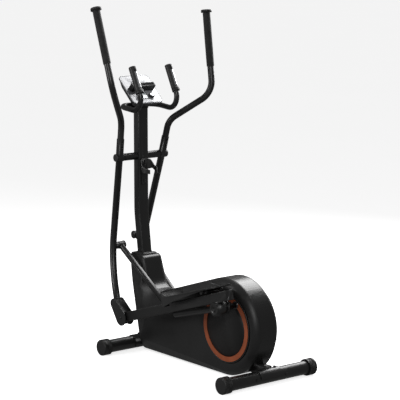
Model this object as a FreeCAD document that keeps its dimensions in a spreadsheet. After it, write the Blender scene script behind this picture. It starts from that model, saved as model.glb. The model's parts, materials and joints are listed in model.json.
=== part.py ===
import FreeCAD, Part
import math
import os
import re
import Sketcher
from FreeCAD import Placement, Rotation, Vector

# Elliptical trainer, in millimetres. +X is the user's right, +Y the way the user faces, +Z up.
# The floor is z = 0. Y is measured from the rear stabiliser while the sub-parts are built; they
# are then all moved back together, so that the origin lies under the middle of the machine.

doc = FreeCAD.newDocument("EllipticalTrainer")
sheet = doc.addObject("Spreadsheet::Sheet", "Sizes")

SIZES = [
    # stabilisers and base frame
    ("stabiliser_length", 534, "stabiliser over its end caps"),
    ("stabiliser_dia", 60, "stabiliser tube diameter"),
    ("stabiliser_wall", 2, "stabiliser tube wall"),
    ("wheelbase", 861, "rear stabiliser to front stabiliser"),
    ("bar_height", 36.5, "stabiliser centre above the floor"),
    ("cap_dia", 75, "stabiliser end cap diameter"),
    ("cap_length", 42, "stabiliser end cap length"),
    ("cap_skirt", 34, "how far an end cap reaches over its tube"),
    ("seat_gap", 0.3, "clearance where one piece seats on another"),
    ("saddle_length", 170, "front saddle sleeve length"),
    ("saddle_wall", 4, "saddle thickness"),
    ("rear_plate_width", 124, "rear saddle plate width"),
    ("spine_width", 50, "spine tube width"),
    ("spine_depth", 36, "spine tube height"),
    ("spine_height", 60, "spine centre above the floor"),
    ("bolt_dia", 8, "frame bolt diameter"),
    ("bolt_head_dia", 13, "frame bolt head diameter"),
    ("bolt_head", 5, "frame bolt head height"),
    ("saddle_bolt_pitch", 84, "distance between the bolts of one saddle"),
    ("rear_screw_pitch", 172, "distance between the screws in the rear stabiliser"),
    ("mast_bolt_low", 300, "height of the lower mast bolts"),
    ("mast_bolt_high", 390, "height of the upper mast bolts"),
    # mast
    ("mast_width", 56, "mast section across the machine"),
    ("mast_depth", 44, "mast section along the machine"),
    ("mast_corner", 7, "mast section corner radius"),
    ("mast_wall", 2, "mast wall"),
    ("mast_y", 894, "upright part of the mast, ahead of the rear stabiliser"),
    ("mast_bend_height", 650, "height of the mast bend"),
    ("mast_lean", 7.4, "lean of the mast below its bend, degrees"),
    ("mast_bend", 500, "mast bend radius"),
    ("mast_foot", 215, "height of the mast foot inside the housing"),
    ("mast_top", 1136, "height of the mast top"),
    ("stub_gap", 1, "clearance between the mast and the stub inside it"),
    ("stub_top", 430, "height of the stub inside the mast"),
    # crank
    ("crank_y", 187, "crank axle, ahead of the rear stabiliser"),
    ("crank_z", 227, "crank axle height"),
    ("crank_throw", 133.6, "crank axle to crank pin"),
    ("crank_angle", 30.6, "left crank behind the vertical at rest, degrees"),
    ("axle_dia", 20, "crank axle diameter"),
    ("bearing_dia", 42, "crank bearing outer diameter"),
    ("bearing_width", 12, "crank bearing width"),
    ("hub_wall", 4, "crank bearing shell wall"),
    ("pulley_dia", 260, "crank pulley diameter"),
    ("pulley_width", 12, "crank pulley width"),
    ("pulley_x", 30, "crank pulley centre, to the user's right"),
    ("disc_dia", 312, "crank disc diameter"),
    ("disc_face", 80, "crank disc outer face from the middle plane"),
    ("disc_thick", 5, "crank disc thickness"),
    ("ring_dia", 298, "accent ring outer diameter"),
    ("ring_width", 22, "accent ring width"),
    ("ring_proud", 1.2, "accent ring height above its disc"),
    ("crank_boss_dia", 34, "crank arm end boss diameter"),
    ("crank_plane", 84, "everything on the crank stays inboard of this plane"),
    # housing
    ("drum_radius", 217.5, "housing drum radius"),
    ("drum_y", 214.5, "housing drum centre, ahead of the rear stabiliser"),
    ("drum_z", 225.5, "housing drum centre height"),
    ("band_half", 42, "half width of the centre band"),
    ("shell_face", 75, "side shell face from the middle plane"),
    ("shell_bevel", 24, "side shell bevel"),
    ("shell_sill", 30, "extra depth of the bevel along the underside"),
    ("neck_flare", 98, "depth over which the neck widens to the side shell face"),
    ("shell_wall", 3, "housing wall"),
    ("shell_bottom", 14, "housing underside above the floor"),
    ("shell_front", 828, "housing foot front corner, ahead of the rear stabiliser"),
    ("neck_top", 452, "height of the neck top"),
    ("neck_front", 918, "neck front at its top"),
    ("neck_rear", 812, "neck rear at its top"),
    ("throat_y", 762, "meeting of the neck rear and the drum slope"),
    ("throat_z", 279, "height of that meeting"),
    ("disc_gap", 2, "gap around a crank disc in its side shell"),
    # flywheel drive
    ("flywheel_y", 520, "flywheel axle, ahead of the rear stabiliser"),
    ("flywheel_z", 200, "flywheel axle height"),
    ("flywheel_dia", 206, "flywheel diameter"),
    ("flywheel_width", 26, "flywheel rim width"),
    ("flywheel_hub_dia", 48, "flywheel hub diameter"),
    ("flywheel_rim", 22, "flywheel rim depth"),
    ("flywheel_axle_dia", 12, "flywheel axle diameter"),
    ("idler_dia", 34, "idler wheel diameter"),
    ("idler_pin_dia", 8, "idler pin diameter"),
    ("small_pulley_dia", 36, "flywheel pulley diameter"),
    ("belt_thick", 3, "belt thickness"),
    ("running_gap", 0.05, "radial clearance of a running fit"),
    # swing arms
    ("swing_z", 913, "swing axle height"),
    ("cross_tube_dia", 34, "cross tube diameter"),
    ("cross_tube_half", 104, "half length of the cross tube"),
    ("swing_axle_dia", 16, "swing axle diameter"),
    ("arm_plane", 125, "swing arm plane from the middle"),
    ("arm_hub_width", 36, "swing arm hub width"),
    ("arm_hub_dia", 37, "swing arm hub diameter"),
    ("arm_dia", 32, "swing arm tube diameter"),
    ("arm_wall", 2, "swing arm tube wall"),
    ("arm_length", 738.1, "swing axle to foot pivot"),
    ("knee_ahead", 123.5, "swing arm knee ahead of the line of the pivots"),
    ("knee_drop", 434, "swing arm knee below the swing axle"),
    ("shin_out", 146.5, "swing arm shin from the middle plane"),
    ("shin_ahead", 102, "swing arm shin ahead of the line of the pivots"),
    ("shin_rise", 168, "swing arm shin above the foot pivot"),
    ("toe_ahead", 46, "swing arm toe ahead of the line of the pivots"),
    ("toe_rise", 66, "swing arm toe above the foot pivot"),
    ("sleeve_dia", 35, "handlebar sleeve diameter"),
    ("sleeve_top", 88, "handlebar sleeve top above the swing axle"),
    ("handle_dia", 30, "handlebar tube diameter"),
    ("handle_plane", 265, "handlebar grip plane from the middle"),
    ("handle_bend_rise", 165, "first handlebar bend above the swing axle"),
    ("handle_bend_back", 42, "first handlebar bend behind the swing axle"),
    ("handle_elbow_rise", 306, "handlebar elbow above the swing axle"),
    ("handle_elbow_back", 186, "handlebar elbow behind the swing axle"),
    ("handle_top_rise", 672, "handlebar top above the swing axle"),
    ("handle_top_back", 118, "handlebar top behind the swing axle"),
    ("grip_length", 250, "foam grip length"),
    ("grip_dia", 35, "foam grip diameter"),
    ("grip_cap_dia", 50, "grip end cap diameter"),
    ("grip_cap_height", 14, "grip end cap height"),
    # foot bars
    ("foot_plane", 180, "foot bar plane from the middle"),
    ("foot_eye_dia", 46, "foot bar front eye diameter"),
    ("foot_eye_width", 33, "foot bar front eye width"),
    ("pivot_pin_dia", 12, "foot pivot pin diameter"),
    ("fork_plate", 4.2, "fork plate thickness"),
    ("fork_radius", 33, "fork plate radius about the foot pivot"),
    ("toe_radius", 20, "fork crown radius"),
    ("cover_wall", 3, "pivot cover wall"),
    ("cover_gap", 0.6, "gap between the fork and its cover"),
    ("bar_link", 688, "foot pivot to crank pin"),
    ("eye_drop", 46, "crank pin below the foot bar centre line"),
    ("bar_width", 40, "foot bar section width"),
    ("bar_depth", 45, "foot bar section height"),
    ("bar_wall", 2, "foot bar wall"),
    ("bar_start", 46, "foot pivot to the front of the foot bar tube"),
    ("bar_end", 779, "foot pivot to the rear end of the foot bar"),
    ("strut_dia", 30, "strut under the foot bar"),
    ("strut_start", 385, "foot pivot to the front of the strut"),
    ("eye_dia", 64, "crank eye diameter"),
    ("eye_inner", 163, "crank eye inner face from the middle plane"),
    ("eye_outer", 205, "crank eye cap face from the middle plane"),
    ("pin_plane", 85.5, "inner end of the crank pin from the middle plane"),
    ("pin_dia", 24, "crank pin diameter"),
    # pedals and links
    ("tray_inner", 117, "pedal inner side from the middle plane"),
    ("tray_outer", 245, "pedal outer side from the middle plane"),
    ("tray_front", 276, "pedal front ahead of its hinge"),
    ("tray_rear", 88, "pedal rear behind its hinge"),
    ("tray_floor", 5, "pedal floor thickness"),
    ("tray_wall", 4.5, "pedal wall"),
    ("tray_lift", 9.5, "pedal underside above its hinge"),
    ("tray_guard", 28, "height of the inner guard above the tread"),
    ("tray_lip", 24, "height of the front lip above the tread"),
    ("tray_skirt", 40, "depth of the skirt below the tread at the front"),
    ("hinge_back", 658, "foot pivot to pedal hinge along the foot bar"),
    ("hinge_rise", 9.5, "pedal hinge above the foot bar"),
    ("hinge_dia", 14, "pedal hinge barrel diameter"),
    ("link_top", 80, "link upper eye from the middle plane"),
    ("link_low", 100.5, "link lower eye from the middle plane"),
    ("link_dia", 27, "link tube diameter"),
    ("link_eye_dia", 35, "link upper eye diameter"),
    ("link_eye_width", 28, "link upper eye width"),
    ("low_eye_width", 25, "link lower eye width"),
    ("stub_cap_dia", 38, "cap on the link pivot stub"),
    ("stub_cap", 5, "thickness of the cap on the link pivot stub"),
    ("stub_ahead", 117, "link pivot ahead of the line of the arm pivots"),
    ("stub_drop", 412, "link pivot below the swing axle"),
    ("stub_dia", 16, "link pivot stub diameter"),
    ("lower_eye_y", 575, "link lower eye at rest, ahead of the rear stabiliser"),
    ("lower_eye_z", 263, "link lower eye height at rest"),
    ("lower_eye_dia", 34, "link lower eye diameter"),
    ("side_plate", 5, "pedal side plate thickness"),
    ("pin_disc_dia", 64, "disc on the crank pin"),
    ("pin_disc", 4, "thickness of the disc on the crank pin"),
    ("nut_dia", 32, "crank pin nut diameter"),
    ("nut_length", 7, "crank pin nut length"),
    ("spacer_dia", 56, "crank pin spacer diameter"),
    ("spacer_length", 13, "crank pin spacer length"),
    # fixed handlebar
    ("fixed_dia", 25, "fixed handlebar tube diameter"),
    ("fixed_wall", 2, "fixed handlebar wall"),
    ("fixed_half", 105, "fixed handlebar limb from the middle plane"),
    ("fixed_front_z", 1149, "fixed handlebar crosspiece height"),
    ("fixed_front_y", 922, "fixed handlebar crosspiece, ahead of the rear stabiliser"),
    ("fixed_corner_y", 718, "fixed handlebar corner, ahead of the rear stabiliser"),
    ("fixed_corner_z", 1129, "fixed handlebar corner height"),
    ("fixed_tip_y", 819, "fixed handlebar tip, ahead of the rear stabiliser"),
    ("fixed_tip_z", 1332, "fixed handlebar tip height"),
    ("pulse_grip_dia", 34, "pulse grip diameter"),
    ("pulse_grip_length", 128, "pulse grip length"),
    ("pulse_plate_length", 78, "pulse plate length"),
    ("pulse_plate_width", 13, "pulse plate width"),
    # console
    ("console_width", 172, "console width"),
    ("console_length", 174, "console length along its face"),
    ("console_y", 891, "console face centre, ahead of the rear stabiliser"),
    ("console_z", 1224, "console face centre height"),
    ("console_tilt", 43, "console face tilt from level, degrees"),
    ("face_thick", 5, "console face plate thickness"),
    ("back_thick", 24, "console back shell depth"),
    ("corner_radius", 20, "console corner radius"),
    ("dial_dia", 30, "console dial diameter"),
    ("dial_height", 11, "console dial height"),
    ("ledge_width", 130, "device ledge width"),
    ("ledge_height", 32, "device ledge height above the console face"),
    # bottle cage
    ("cage_top", 902, "bottle cage plate top"),
    ("cage_bottom", 778, "bottle cage plate bottom"),
    ("cage_ring_dia", 78, "bottle cage ring outer diameter"),
    ("cage_ring_z", 826, "bottle cage claws above the floor"),
    ("cage_band", 76, "bottle cage claw height at the root"),
    ("cage_mouth", 40, "bottle cage ring opening"),
    ("cage_wall", 4, "bottle cage wall"),
    ("cage_screw_dia", 5, "bottle cage screw diameter"),
]

for row, (alias, number, meaning) in enumerate(SIZES, start=1):
    sheet.set("A%d" % row, meaning)
    sheet.set("B%d" % row, str(number))
    sheet.setAlias("B%d" % row, alias)
doc.recompute()


class Sizes:
    """The sheet's numbers, read back for the shapes and places that code works out."""


S = Sizes()
for alias, number, meaning in SIZES:
    setattr(S, alias, float(sheet.get(alias)))

ALONG_X = Vector(1, 0, 0)
ALONG_Y = Vector(0, 1, 0)
ALONG_Z = Vector(0, 0, 1)
SIDES = (("left", -1), ("right", 1))
nodes = []


# ---------------------------------------------------------------- helpers

def formula(text):
    """Sheet aliases in a formula, given their sheet's name."""
    return re.sub(r"[a-z][a-z_]+", lambda word: "Sizes." + word.group(), str(text))


def at(x, y, z, turn=Rotation()):
    return Placement(Vector(x, y, z), turn)


def about_x(degrees):
    return Rotation(ALONG_X, degrees)


def keep(obj, label, place=None):
    """Name a finished sub-part and put it on the list of nodes."""
    obj.Label = label
    if place is not None:
        obj.Placement = place
    nodes.append(obj)
    return obj


def coded(label, shape, place):
    """A sub-part whose shape is worked out in code from the sheet's numbers."""
    obj = doc.addObject("Part::Feature", label)
    obj.Shape = shape if shape.Placement.isIdentity() else Part.makeCompound([shape])
    return keep(obj, label, place)


def rod(name, radius, length, base, direction=ALONG_X):
    """A Part::Cylinder with its sizes bound to the sheet."""
    obj = doc.addObject("Part::Cylinder", name)
    obj.setExpression("Radius", formula(radius))
    obj.setExpression("Height", formula(length))
    obj.Placement = Placement(base, Rotation(ALONG_Z, direction))
    return obj


def block(name, length, width, height, base, turn=Rotation()):
    """A Part::Box with its sizes bound to the sheet, base being its low corner."""
    obj = doc.addObject("Part::Box", name)
    obj.setExpression("Length", formula(length))
    obj.setExpression("Width", formula(width))
    obj.setExpression("Height", formula(height))
    obj.Placement = Placement(base, turn)
    return obj


def fused(name, pieces):
    obj = doc.addObject("Part::MultiFuse", name)
    obj.Shapes = pieces
    return obj


def cut(name, base, tool):
    obj = doc.addObject("Part::Cut", name)
    obj.Base = base
    obj.Tool = tool
    return obj


def origin_plane(body, role):
    for feature in body.Origin.OriginFeatures:
        if feature.Role == role:
            return feature
    raise ValueError(role)


def outline_sketch(body, role, corners, name):
    """A closed outline of straight lines, each corner's two distances bound to the sheet."""
    sketch = body.newObject("Sketcher::SketchObject", name)
    sketch.AttachmentSupport = [(origin_plane(body, role), "")]
    sketch.MapMode = "FlatFace"
    start = [Vector(number_of(u), number_of(v), 0) for u, v in corners]
    count = len(start)
    for i in range(count):
        sketch.addGeometry(Part.LineSegment(start[i], start[(i + 1) % count]), False)
    for i in range(count):
        sketch.addConstraint(Sketcher.Constraint("Coincident", i, 2, (i + 1) % count, 1))
    for i, (u, v) in enumerate(corners):
        place_corner(sketch, i, "DistanceX", -2, u, start[i].x, "across%d" % i)
        place_corner(sketch, i, "DistanceY", -1, v, start[i].y, "up%d" % i)
    return sketch


def place_corner(sketch, line, kind, axis, text, now, name):
    """Hold one corner on an axis, or at a distance from it that follows the sheet."""
    if str(text) == "0":
        sketch.addConstraint(Sketcher.Constraint("PointOnObject", line, 1, axis))
        return
    index = sketch.addConstraint(Sketcher.Constraint(kind, -1, 1, line, 1, now))
    sketch.renameConstraint(index, name)
    sketch.setExpression("Constraints." + name, formula(text))


def number_of(text):
    """The present value of a formula made of sums, products and quotients of aliases."""
    total = 0.0
    for sign, term in re.findall(r"([+-]?)\s*([^+-]+)", str(text).strip()):
        product = 1.0
        for operator, factor in re.findall(r"([*/]?)\s*([a-z_]+|[0-9.]+)", term):
            amount = getattr(S, factor) if factor[0].isalpha() else float(factor)
            product = product / amount if operator == "/" else product * amount
        total += -product if sign == "-" else product
    return total


def turned(label, corners, place):
    """A body turned about its own Z axis from an outline of (radius, height) formulas."""
    body = doc.addObject("PartDesign::Body", label)
    sketch = outline_sketch(body, "XZ_Plane", corners, label + "_outline")
    turn = body.newObject("PartDesign::Revolution", label + "_turn")
    turn.Profile = sketch
    turn.ReferenceAxis = (sketch, ["V_Axis"])
    turn.Angle = 360
    return keep(body, label, place)


def runs_along(edge, direction):
    first, last = edge.Vertexes[0].Point, edge.Vertexes[-1].Point
    span = last.sub(first)
    return span.Length > 0.01 and abs(abs(span.dot(direction)) - span.Length) < 0.01


def bent_path(points, radii):
    """Straight runs joined by tangent arcs, one radius for each inner point."""
    edges = []
    start = points[0]
    for i in range(1, len(points) - 1):
        before = points[i].sub(points[i - 1]).normalize()
        after = points[i + 1].sub(points[i]).normalize()
        turn = before.getAngle(after)
        reach = radii[i - 1] * math.tan(turn / 2)
        arc_start = points[i].sub(before * reach)
        arc_end = points[i].add(after * reach)
        inward = after.sub(before).normalize()
        depth = radii[i - 1] * (1 / math.cos(turn / 2) - 1)
        edges.append(Part.LineSegment(start, arc_start).toShape())
        edges.append(Part.Arc(arc_start, points[i].add(inward * depth), arc_end).toShape())
        start = arc_end
    edges.append(Part.LineSegment(start, points[-1]).toShape())
    return Part.Wire(edges)


def swept(path, section):
    return path.makePipeShell([section], True, True)


def tube(points, radii, outer, wall):
    """A bent round tube, open at both ends."""
    path = bent_path(points, radii)
    along = points[1].sub(points[0])
    skin = swept(path, Part.Wire([Part.makeCircle(outer / 2, points[0], along)]))
    bore = swept(path, Part.Wire([Part.makeCircle(outer / 2 - wall, points[0], along)]))
    return skin.cut(bore)


def drum(radius, length, base, direction=ALONG_X):
    return Part.makeCylinder(radius, length, base, direction)


def slab(x0, x1, y0, y1, z0, z1):
    return Part.makeBox(x1 - x0, y1 - y0, z1 - z0, Vector(x0, y0, z0))


def across(side, inner, outer):
    """The low and high X of a piece between two planes on one side of the machine."""
    return (inner, outer) if side > 0 else (-outer, -inner)


def side_drum(side, radius, inner, outer, y=0.0, z=0.0):
    low, high = across(side, inner, outer)
    return drum(radius, high - low, Vector(low, y, z))


def side_slab(side, inner, outer, y0, y1, z0, z1):
    low, high = across(side, inner, outer)
    return slab(low, high, y0, y1, z0, z1)


def hull_outline(big, big_y, big_z, small, small_y, small_z):
    """The outline round two circles in the Y-Z plane: two arcs and their two tangents."""
    run = Vector(0, small_y - big_y, small_z - big_z)
    gap = run.Length
    heading = math.atan2(run.z, run.y)
    spread = math.acos((big - small) / gap)

    def point(cy, cz, radius, angle):
        return Vector(0, cy + radius * math.cos(angle), cz + radius * math.sin(angle))

    first = heading + spread
    last = heading - spread
    a = point(big_y, big_z, big, first)
    b = point(big_y, big_z, big, heading + math.pi)
    c = point(big_y, big_z, big, last)
    d = point(small_y, small_z, small, last)
    e = point(small_y, small_z, small, heading)
    f = point(small_y, small_z, small, first)
    return Part.Wire([
        Part.Arc(a, b, c).toShape(),
        Part.LineSegment(c, d).toShape(),
        Part.Arc(d, e, f).toShape(),
        Part.LineSegment(f, a).toShape(),
    ])


def side_prism(side, wire, inner, outer):
    """A Y-Z outline made solid between two planes on one side of the machine."""
    low, high = across(side, inner, outer)
    face = Part.Face(wire)
    face.translate(Vector(low, 0, 0))
    return face.extrude(Vector(high - low, 0, 0))


# ---------------------------------------------------------------- linkage

swing = Vector(0, S.mast_y, S.swing_z)
crank = Vector(0, S.crank_y, S.crank_z)
drum_centre = Vector(0, S.drum_y, S.drum_z)


def spun(vector, degrees):
    return about_x(degrees).multVec(vector)


def heading(vector):
    """Angle of a vector in the Y-Z plane, in degrees from +Y."""
    return math.degrees(math.atan2(vector.z, vector.y))


def solve_side(side):
    """Where the crank pin, foot pivot and arm stand at rest: the four-bar loop, closed."""
    lean = math.radians(S.crank_angle)
    throw = Vector(0, -math.sin(lean), math.cos(lean)) * (-side * S.crank_throw)
    pin = crank.add(throw)
    reach = pin.sub(swing)
    far = reach.Length
    cosine = (S.arm_length ** 2 + far ** 2 - S.bar_link ** 2) / (2 * S.arm_length * far)
    down = heading(reach) + math.degrees(math.acos(cosine))
    arm_turn = down + 90.0
    pivot = swing.add(spun(Vector(0, 0, -S.arm_length), arm_turn))
    eye = Vector(0, -math.sqrt(S.bar_link ** 2 - S.eye_drop ** 2), -S.eye_drop)
    bar_turn = heading(pin.sub(pivot)) - heading(eye)
    return pin, pivot, arm_turn, bar_turn


def circles_meet(a, ra, b, rb, near):
    """The crossing of two circles in the Y-Z plane that lies nearest to a point."""
    run = b.sub(a)
    far = run.Length
    along = (ra ** 2 - rb ** 2 + far ** 2) / (2 * far)
    off = math.sqrt(ra ** 2 - along ** 2)
    unit = run * (1 / far)
    square = Vector(0, -unit.z, unit.y)
    both = [a.add(unit * along).add(square * (sign * off)) for sign in (-1, 1)]
    return min(both, key=lambda point: point.sub(near).Length)


stub_in_arm = Vector(0, S.stub_ahead, -S.stub_drop)
hinge_in_bar = Vector(0, -S.hinge_back, S.bar_depth / 2 + S.hinge_rise)

rest = {}
for name, side in SIDES:
    pin, pivot, arm_turn, bar_turn = solve_side(side)
    rest[name] = {
        "pin": pin,
        "pivot": pivot,
        "arm": arm_turn,
        "bar": bar_turn,
        "stub": swing.add(spun(stub_in_arm, arm_turn)),
        "hinge": pivot.add(spun(hinge_in_bar, bar_turn)),
    }

# The left side at rest sets the link's length and the pedal's lower eye; the right side follows.
left = rest["left"]
left_eye = Vector(0, S.lower_eye_y, S.lower_eye_z)
link_length = left_eye.sub(left["stub"]).Length
eye_in_pedal = spun(left_eye.sub(left["hinge"]), -left["bar"])
left["eye"] = left_eye
left["pedal"] = left["bar"]
right = rest["right"]
guess = right["hinge"].add(spun(eye_in_pedal, right["bar"]))
right["eye"] = circles_meet(right["hinge"], eye_in_pedal.Length, right["stub"], link_length, guess)
right["pedal"] = heading(right["eye"].sub(right["hinge"])) - heading(eye_in_pedal)
for name, side in SIDES:
    pose = rest[name]
    pose["link"] = heading(pose["eye"].sub(pose["stub"])) + 90.0


def mounted(name, point, turn):
    """The placement of a moving sub-part whose own origin is its pivot."""
    spot = rest[name][point] if isinstance(point, str) else point
    return at(0, spot.y, spot.z, about_x(turn))


# ---------------------------------------------------------------- stabilisers and base frame

def build_stabiliser(label, y, screws_behind):
    """A straight tube, drilled for its saddle bolts and, at the rear, for two screws."""
    skin = rod(label + "_skin", "stabiliser_dia / 2", "stabiliser_length - 2 * cap_length + 2 * cap_skirt",
               Vector(-(S.stabiliser_length / 2 - S.cap_length + S.cap_skirt), 0, 0))
    holes = [rod(label + "_bore", "stabiliser_dia / 2 - stabiliser_wall", "stabiliser_length",
                 Vector(-S.stabiliser_length / 2, 0, 0))]
    for side in (-1, 1):
        holes.append(rod(label + "_bolt_hole", "bolt_dia / 2 + seat_gap", "stabiliser_dia",
                         Vector(side * S.saddle_bolt_pitch / 2, 0, 0), ALONG_Z))
        if screws_behind:
            holes.append(rod(label + "_screw_hole", "bolt_dia / 2 + seat_gap", "stabiliser_dia",
                             Vector(side * S.rear_screw_pitch / 2, 0, 0), Vector(0, -1, 0)))
    keep(cut(label, skin, fused(label + "_holes", holes)), label, at(0, y, S.bar_height))


def build_end_caps():
    """Four stepped caps, each with a flat sole and a domed face."""
    caps = []
    for y in (0.0, S.wheelbase):
        for side in (-1, 1):
            inner = S.stabiliser_length / 2 - S.cap_length
            outer = S.stabiliser_length / 2
            base = side_drum(side, S.cap_dia / 2, inner, outer)
            rims = [edge for edge in base.Edges if abs(abs(edge.CenterOfMass.x) - outer) < 0.1]
            base = base.makeFillet(5.0, rims)
            socket = side_drum(side, S.stabiliser_dia / 2 + S.seat_gap / 2, inner - 1, inner + S.cap_skirt)
            plug = side_drum(side, S.stabiliser_dia / 2 - S.stabiliser_wall - S.seat_gap,
                             inner + S.cap_skirt - 12, inner + S.cap_skirt)
            ribs = [side_drum(side, S.cap_dia / 2 + 1, inner + start, inner + start + 1.6)
                    .cut(side_drum(side, S.cap_dia / 2 - 1, inner + start, inner + start + 1.6))
                    for start in (8.0, 14.0, 20.0)]
            shape = base.cut(socket).fuse(plug)
            for rib in ribs:
                shape = shape.cut(rib)
            sole = slab(-outer - 1, outer + 1, -60, 60, -S.bar_height - 30, -S.bar_height)
            shape = shape.cut(sole)
            shape.translate(Vector(0, y, 0))
            caps.append(shape)
    coded("stabiliser_caps", Part.makeCompound(caps), at(0, 0, S.bar_height))


def leaned(y, z):
    """A point on the centre line of the lower, leaning part of the mast at a height."""
    slope = math.tan(math.radians(S.mast_lean))
    return Vector(0, y - slope * (S.mast_bend_height - z), z)


def build_base_frame():
    """Spine, saddles, mast stub, bearing shell and flywheel fork, welded into one frame."""
    half = S.spine_width / 2
    low = S.spine_height - S.spine_depth / 2
    top = low + S.spine_depth
    bar_radius = S.stabiliser_dia / 2 + S.seat_gap
    pieces = [
        block("spine", "spine_width", "wheelbase", "spine_depth", Vector(-half, 0, low)),
        rod("front_saddle", "stabiliser_dia / 2 + saddle_wall", "saddle_length",
            Vector(-S.saddle_length / 2, S.wheelbase, S.bar_height)),
        rod("rear_saddle", "stabiliser_dia / 2 + saddle_wall", "rear_plate_width",
            Vector(-S.rear_plate_width / 2, 0, S.bar_height)),
        block("bearing_post", "spine_width - 6", "bearing_dia", "crank_z - spine_height",
              Vector(-half, S.crank_y - S.bearing_dia / 2, S.spine_height)),
        rod("bearing_shell", "bearing_dia / 2 + hub_wall", "spine_width - 6",
            Vector(-half, S.crank_y, S.crank_z)),
        block("fork_left", "5", "60", "flywheel_z - spine_height + 22",
              Vector(-half - 3, S.flywheel_y - 30, S.spine_height)),
        block("fork_right", "5", "60", "flywheel_z - spine_height + 22",
              Vector(14, S.flywheel_y - 30, S.spine_height)),
        block("fork_foot", "spine_width + 3", "60", "8", Vector(-half - 3, S.flywheel_y - 30, top - 8)),
    ]
    foot = leaned(S.mast_y, S.spine_height)
    inset = S.mast_wall + S.stub_gap
    stub = block("mast_stub", "mast_width - 2 * mast_wall - 2 * stub_gap",
                 "mast_depth - 2 * mast_wall - 2 * stub_gap", "stub_top - spine_height", Vector(0, 0, 0))
    lean = about_x(-S.mast_lean)
    corner = Vector(-(S.mast_width / 2 - inset), -(S.mast_depth / 2 - inset), 0)
    stub.Placement = Placement(foot.add(lean.multVec(corner)), lean)
    pieces.append(stub)
    frame = fused("frame_weldment", pieces)
    holes = [
        rod("front_seat", "stabiliser_dia / 2 + seat_gap", "stabiliser_length",
            Vector(-S.stabiliser_length / 2, S.wheelbase, S.bar_height)),
        rod("rear_seat", "stabiliser_dia / 2 + seat_gap", "stabiliser_length",
            Vector(-S.stabiliser_length / 2, 0, S.bar_height)),
        block("rear_trim", "stabiliser_length", "100", "60 + bar_height",
              Vector(-S.stabiliser_length / 2, -100 - S.spine_width / 4, -60)),
        block("rear_under", "stabiliser_length", "2 * stabiliser_dia", "60 + bar_height",
              Vector(-S.stabiliser_length / 2, -S.stabiliser_dia, -60)),
        block("front_under", "stabiliser_length", "2 * stabiliser_dia", "60 + bar_height / 2",
              Vector(-S.stabiliser_length / 2, S.wheelbase - S.stabiliser_dia, -60)),
        rod("bearing_bore", "bearing_dia / 2 + running_gap", "spine_width + 20",
            Vector(-half - 10, S.crank_y, S.crank_z)),
        rod("flywheel_bore", "flywheel_axle_dia / 2 + running_gap", "spine_width + 40",
            Vector(-half - 20, S.flywheel_y, S.flywheel_z)),
    ]
    for y in (0.0, S.wheelbase):
        for side in (-1, 1):
            holes.append(rod("saddle_bolt_hole", "bolt_dia / 2 + seat_gap", "bar_height + stabiliser_dia",
                             Vector(side * S.saddle_bolt_pitch / 2, y, 0), ALONG_Z))
    for height in (S.mast_bolt_low, S.mast_bolt_high):
        holes.append(rod("mast_bolt_hole", "bolt_dia / 2 + seat_gap", "mast_width",
                         leaned(S.mast_y, height).sub(Vector(S.mast_width / 2, 0, 0))))
    keep(cut("base_frame", frame, fused("frame_holes", holes)), "base_frame", at(0, 0, 0))


def screw(base, direction, shank, thread, head):
    """A socket-head screw: its head stands on base and its shank goes the other way."""
    stem = drum(thread / 2, shank, base.sub(direction * shank), direction)
    height = head * 0.4
    cap = drum(head / 2, height, base, direction)
    crown = [edge for edge in cap.Edges
             if abs(edge.CenterOfMass.sub(base).dot(direction) - height) < 0.05]
    cap = cap.makeFillet(height * 0.4, crown)
    socket = drum(thread * 0.32, height * 0.6, base.add(direction * (height * 0.45)), direction)
    return stem.fuse(cap).cut(socket)


def build_frame_bolts():
    """Saddle bolts, mast bolts and the screws behind: one group of separate fasteners."""
    bolts = []
    top = S.bar_height + S.stabiliser_dia / 2 + S.saddle_wall
    for side in (-1, 1):
        for y in (0.0, S.wheelbase):
            seat = Vector(side * S.saddle_bolt_pitch / 2, y, top)
            bolts.append(screw(seat, ALONG_Z, 7.5, S.bolt_dia, S.bolt_head_dia))
        seat = Vector(side * S.rear_screw_pitch / 2, -S.stabiliser_dia / 2, S.bar_height)
        bolts.append(screw(seat, Vector(0, -1, 0), 4, S.bolt_dia * 0.75, S.bolt_head_dia * 0.7))
        for height in (S.mast_bolt_low, S.mast_bolt_high):
            seat = leaned(S.mast_y, height).add(Vector(side * S.mast_width / 2, 0, 0))
            bolts.append(screw(seat, Vector(side, 0, 0), 10, S.bolt_dia, S.bolt_head_dia))
    cage_face = S.mast_y - S.mast_depth / 2 - S.cage_wall
    for height in cage_screw_heights():
        bolts.append(screw(Vector(0, cage_face, height), Vector(0, -1, 0), 9, S.cage_screw_dia, 9))
    coded("frame_bolts", Part.makeCompound(bolts), at(0, 0, 0))


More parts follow.
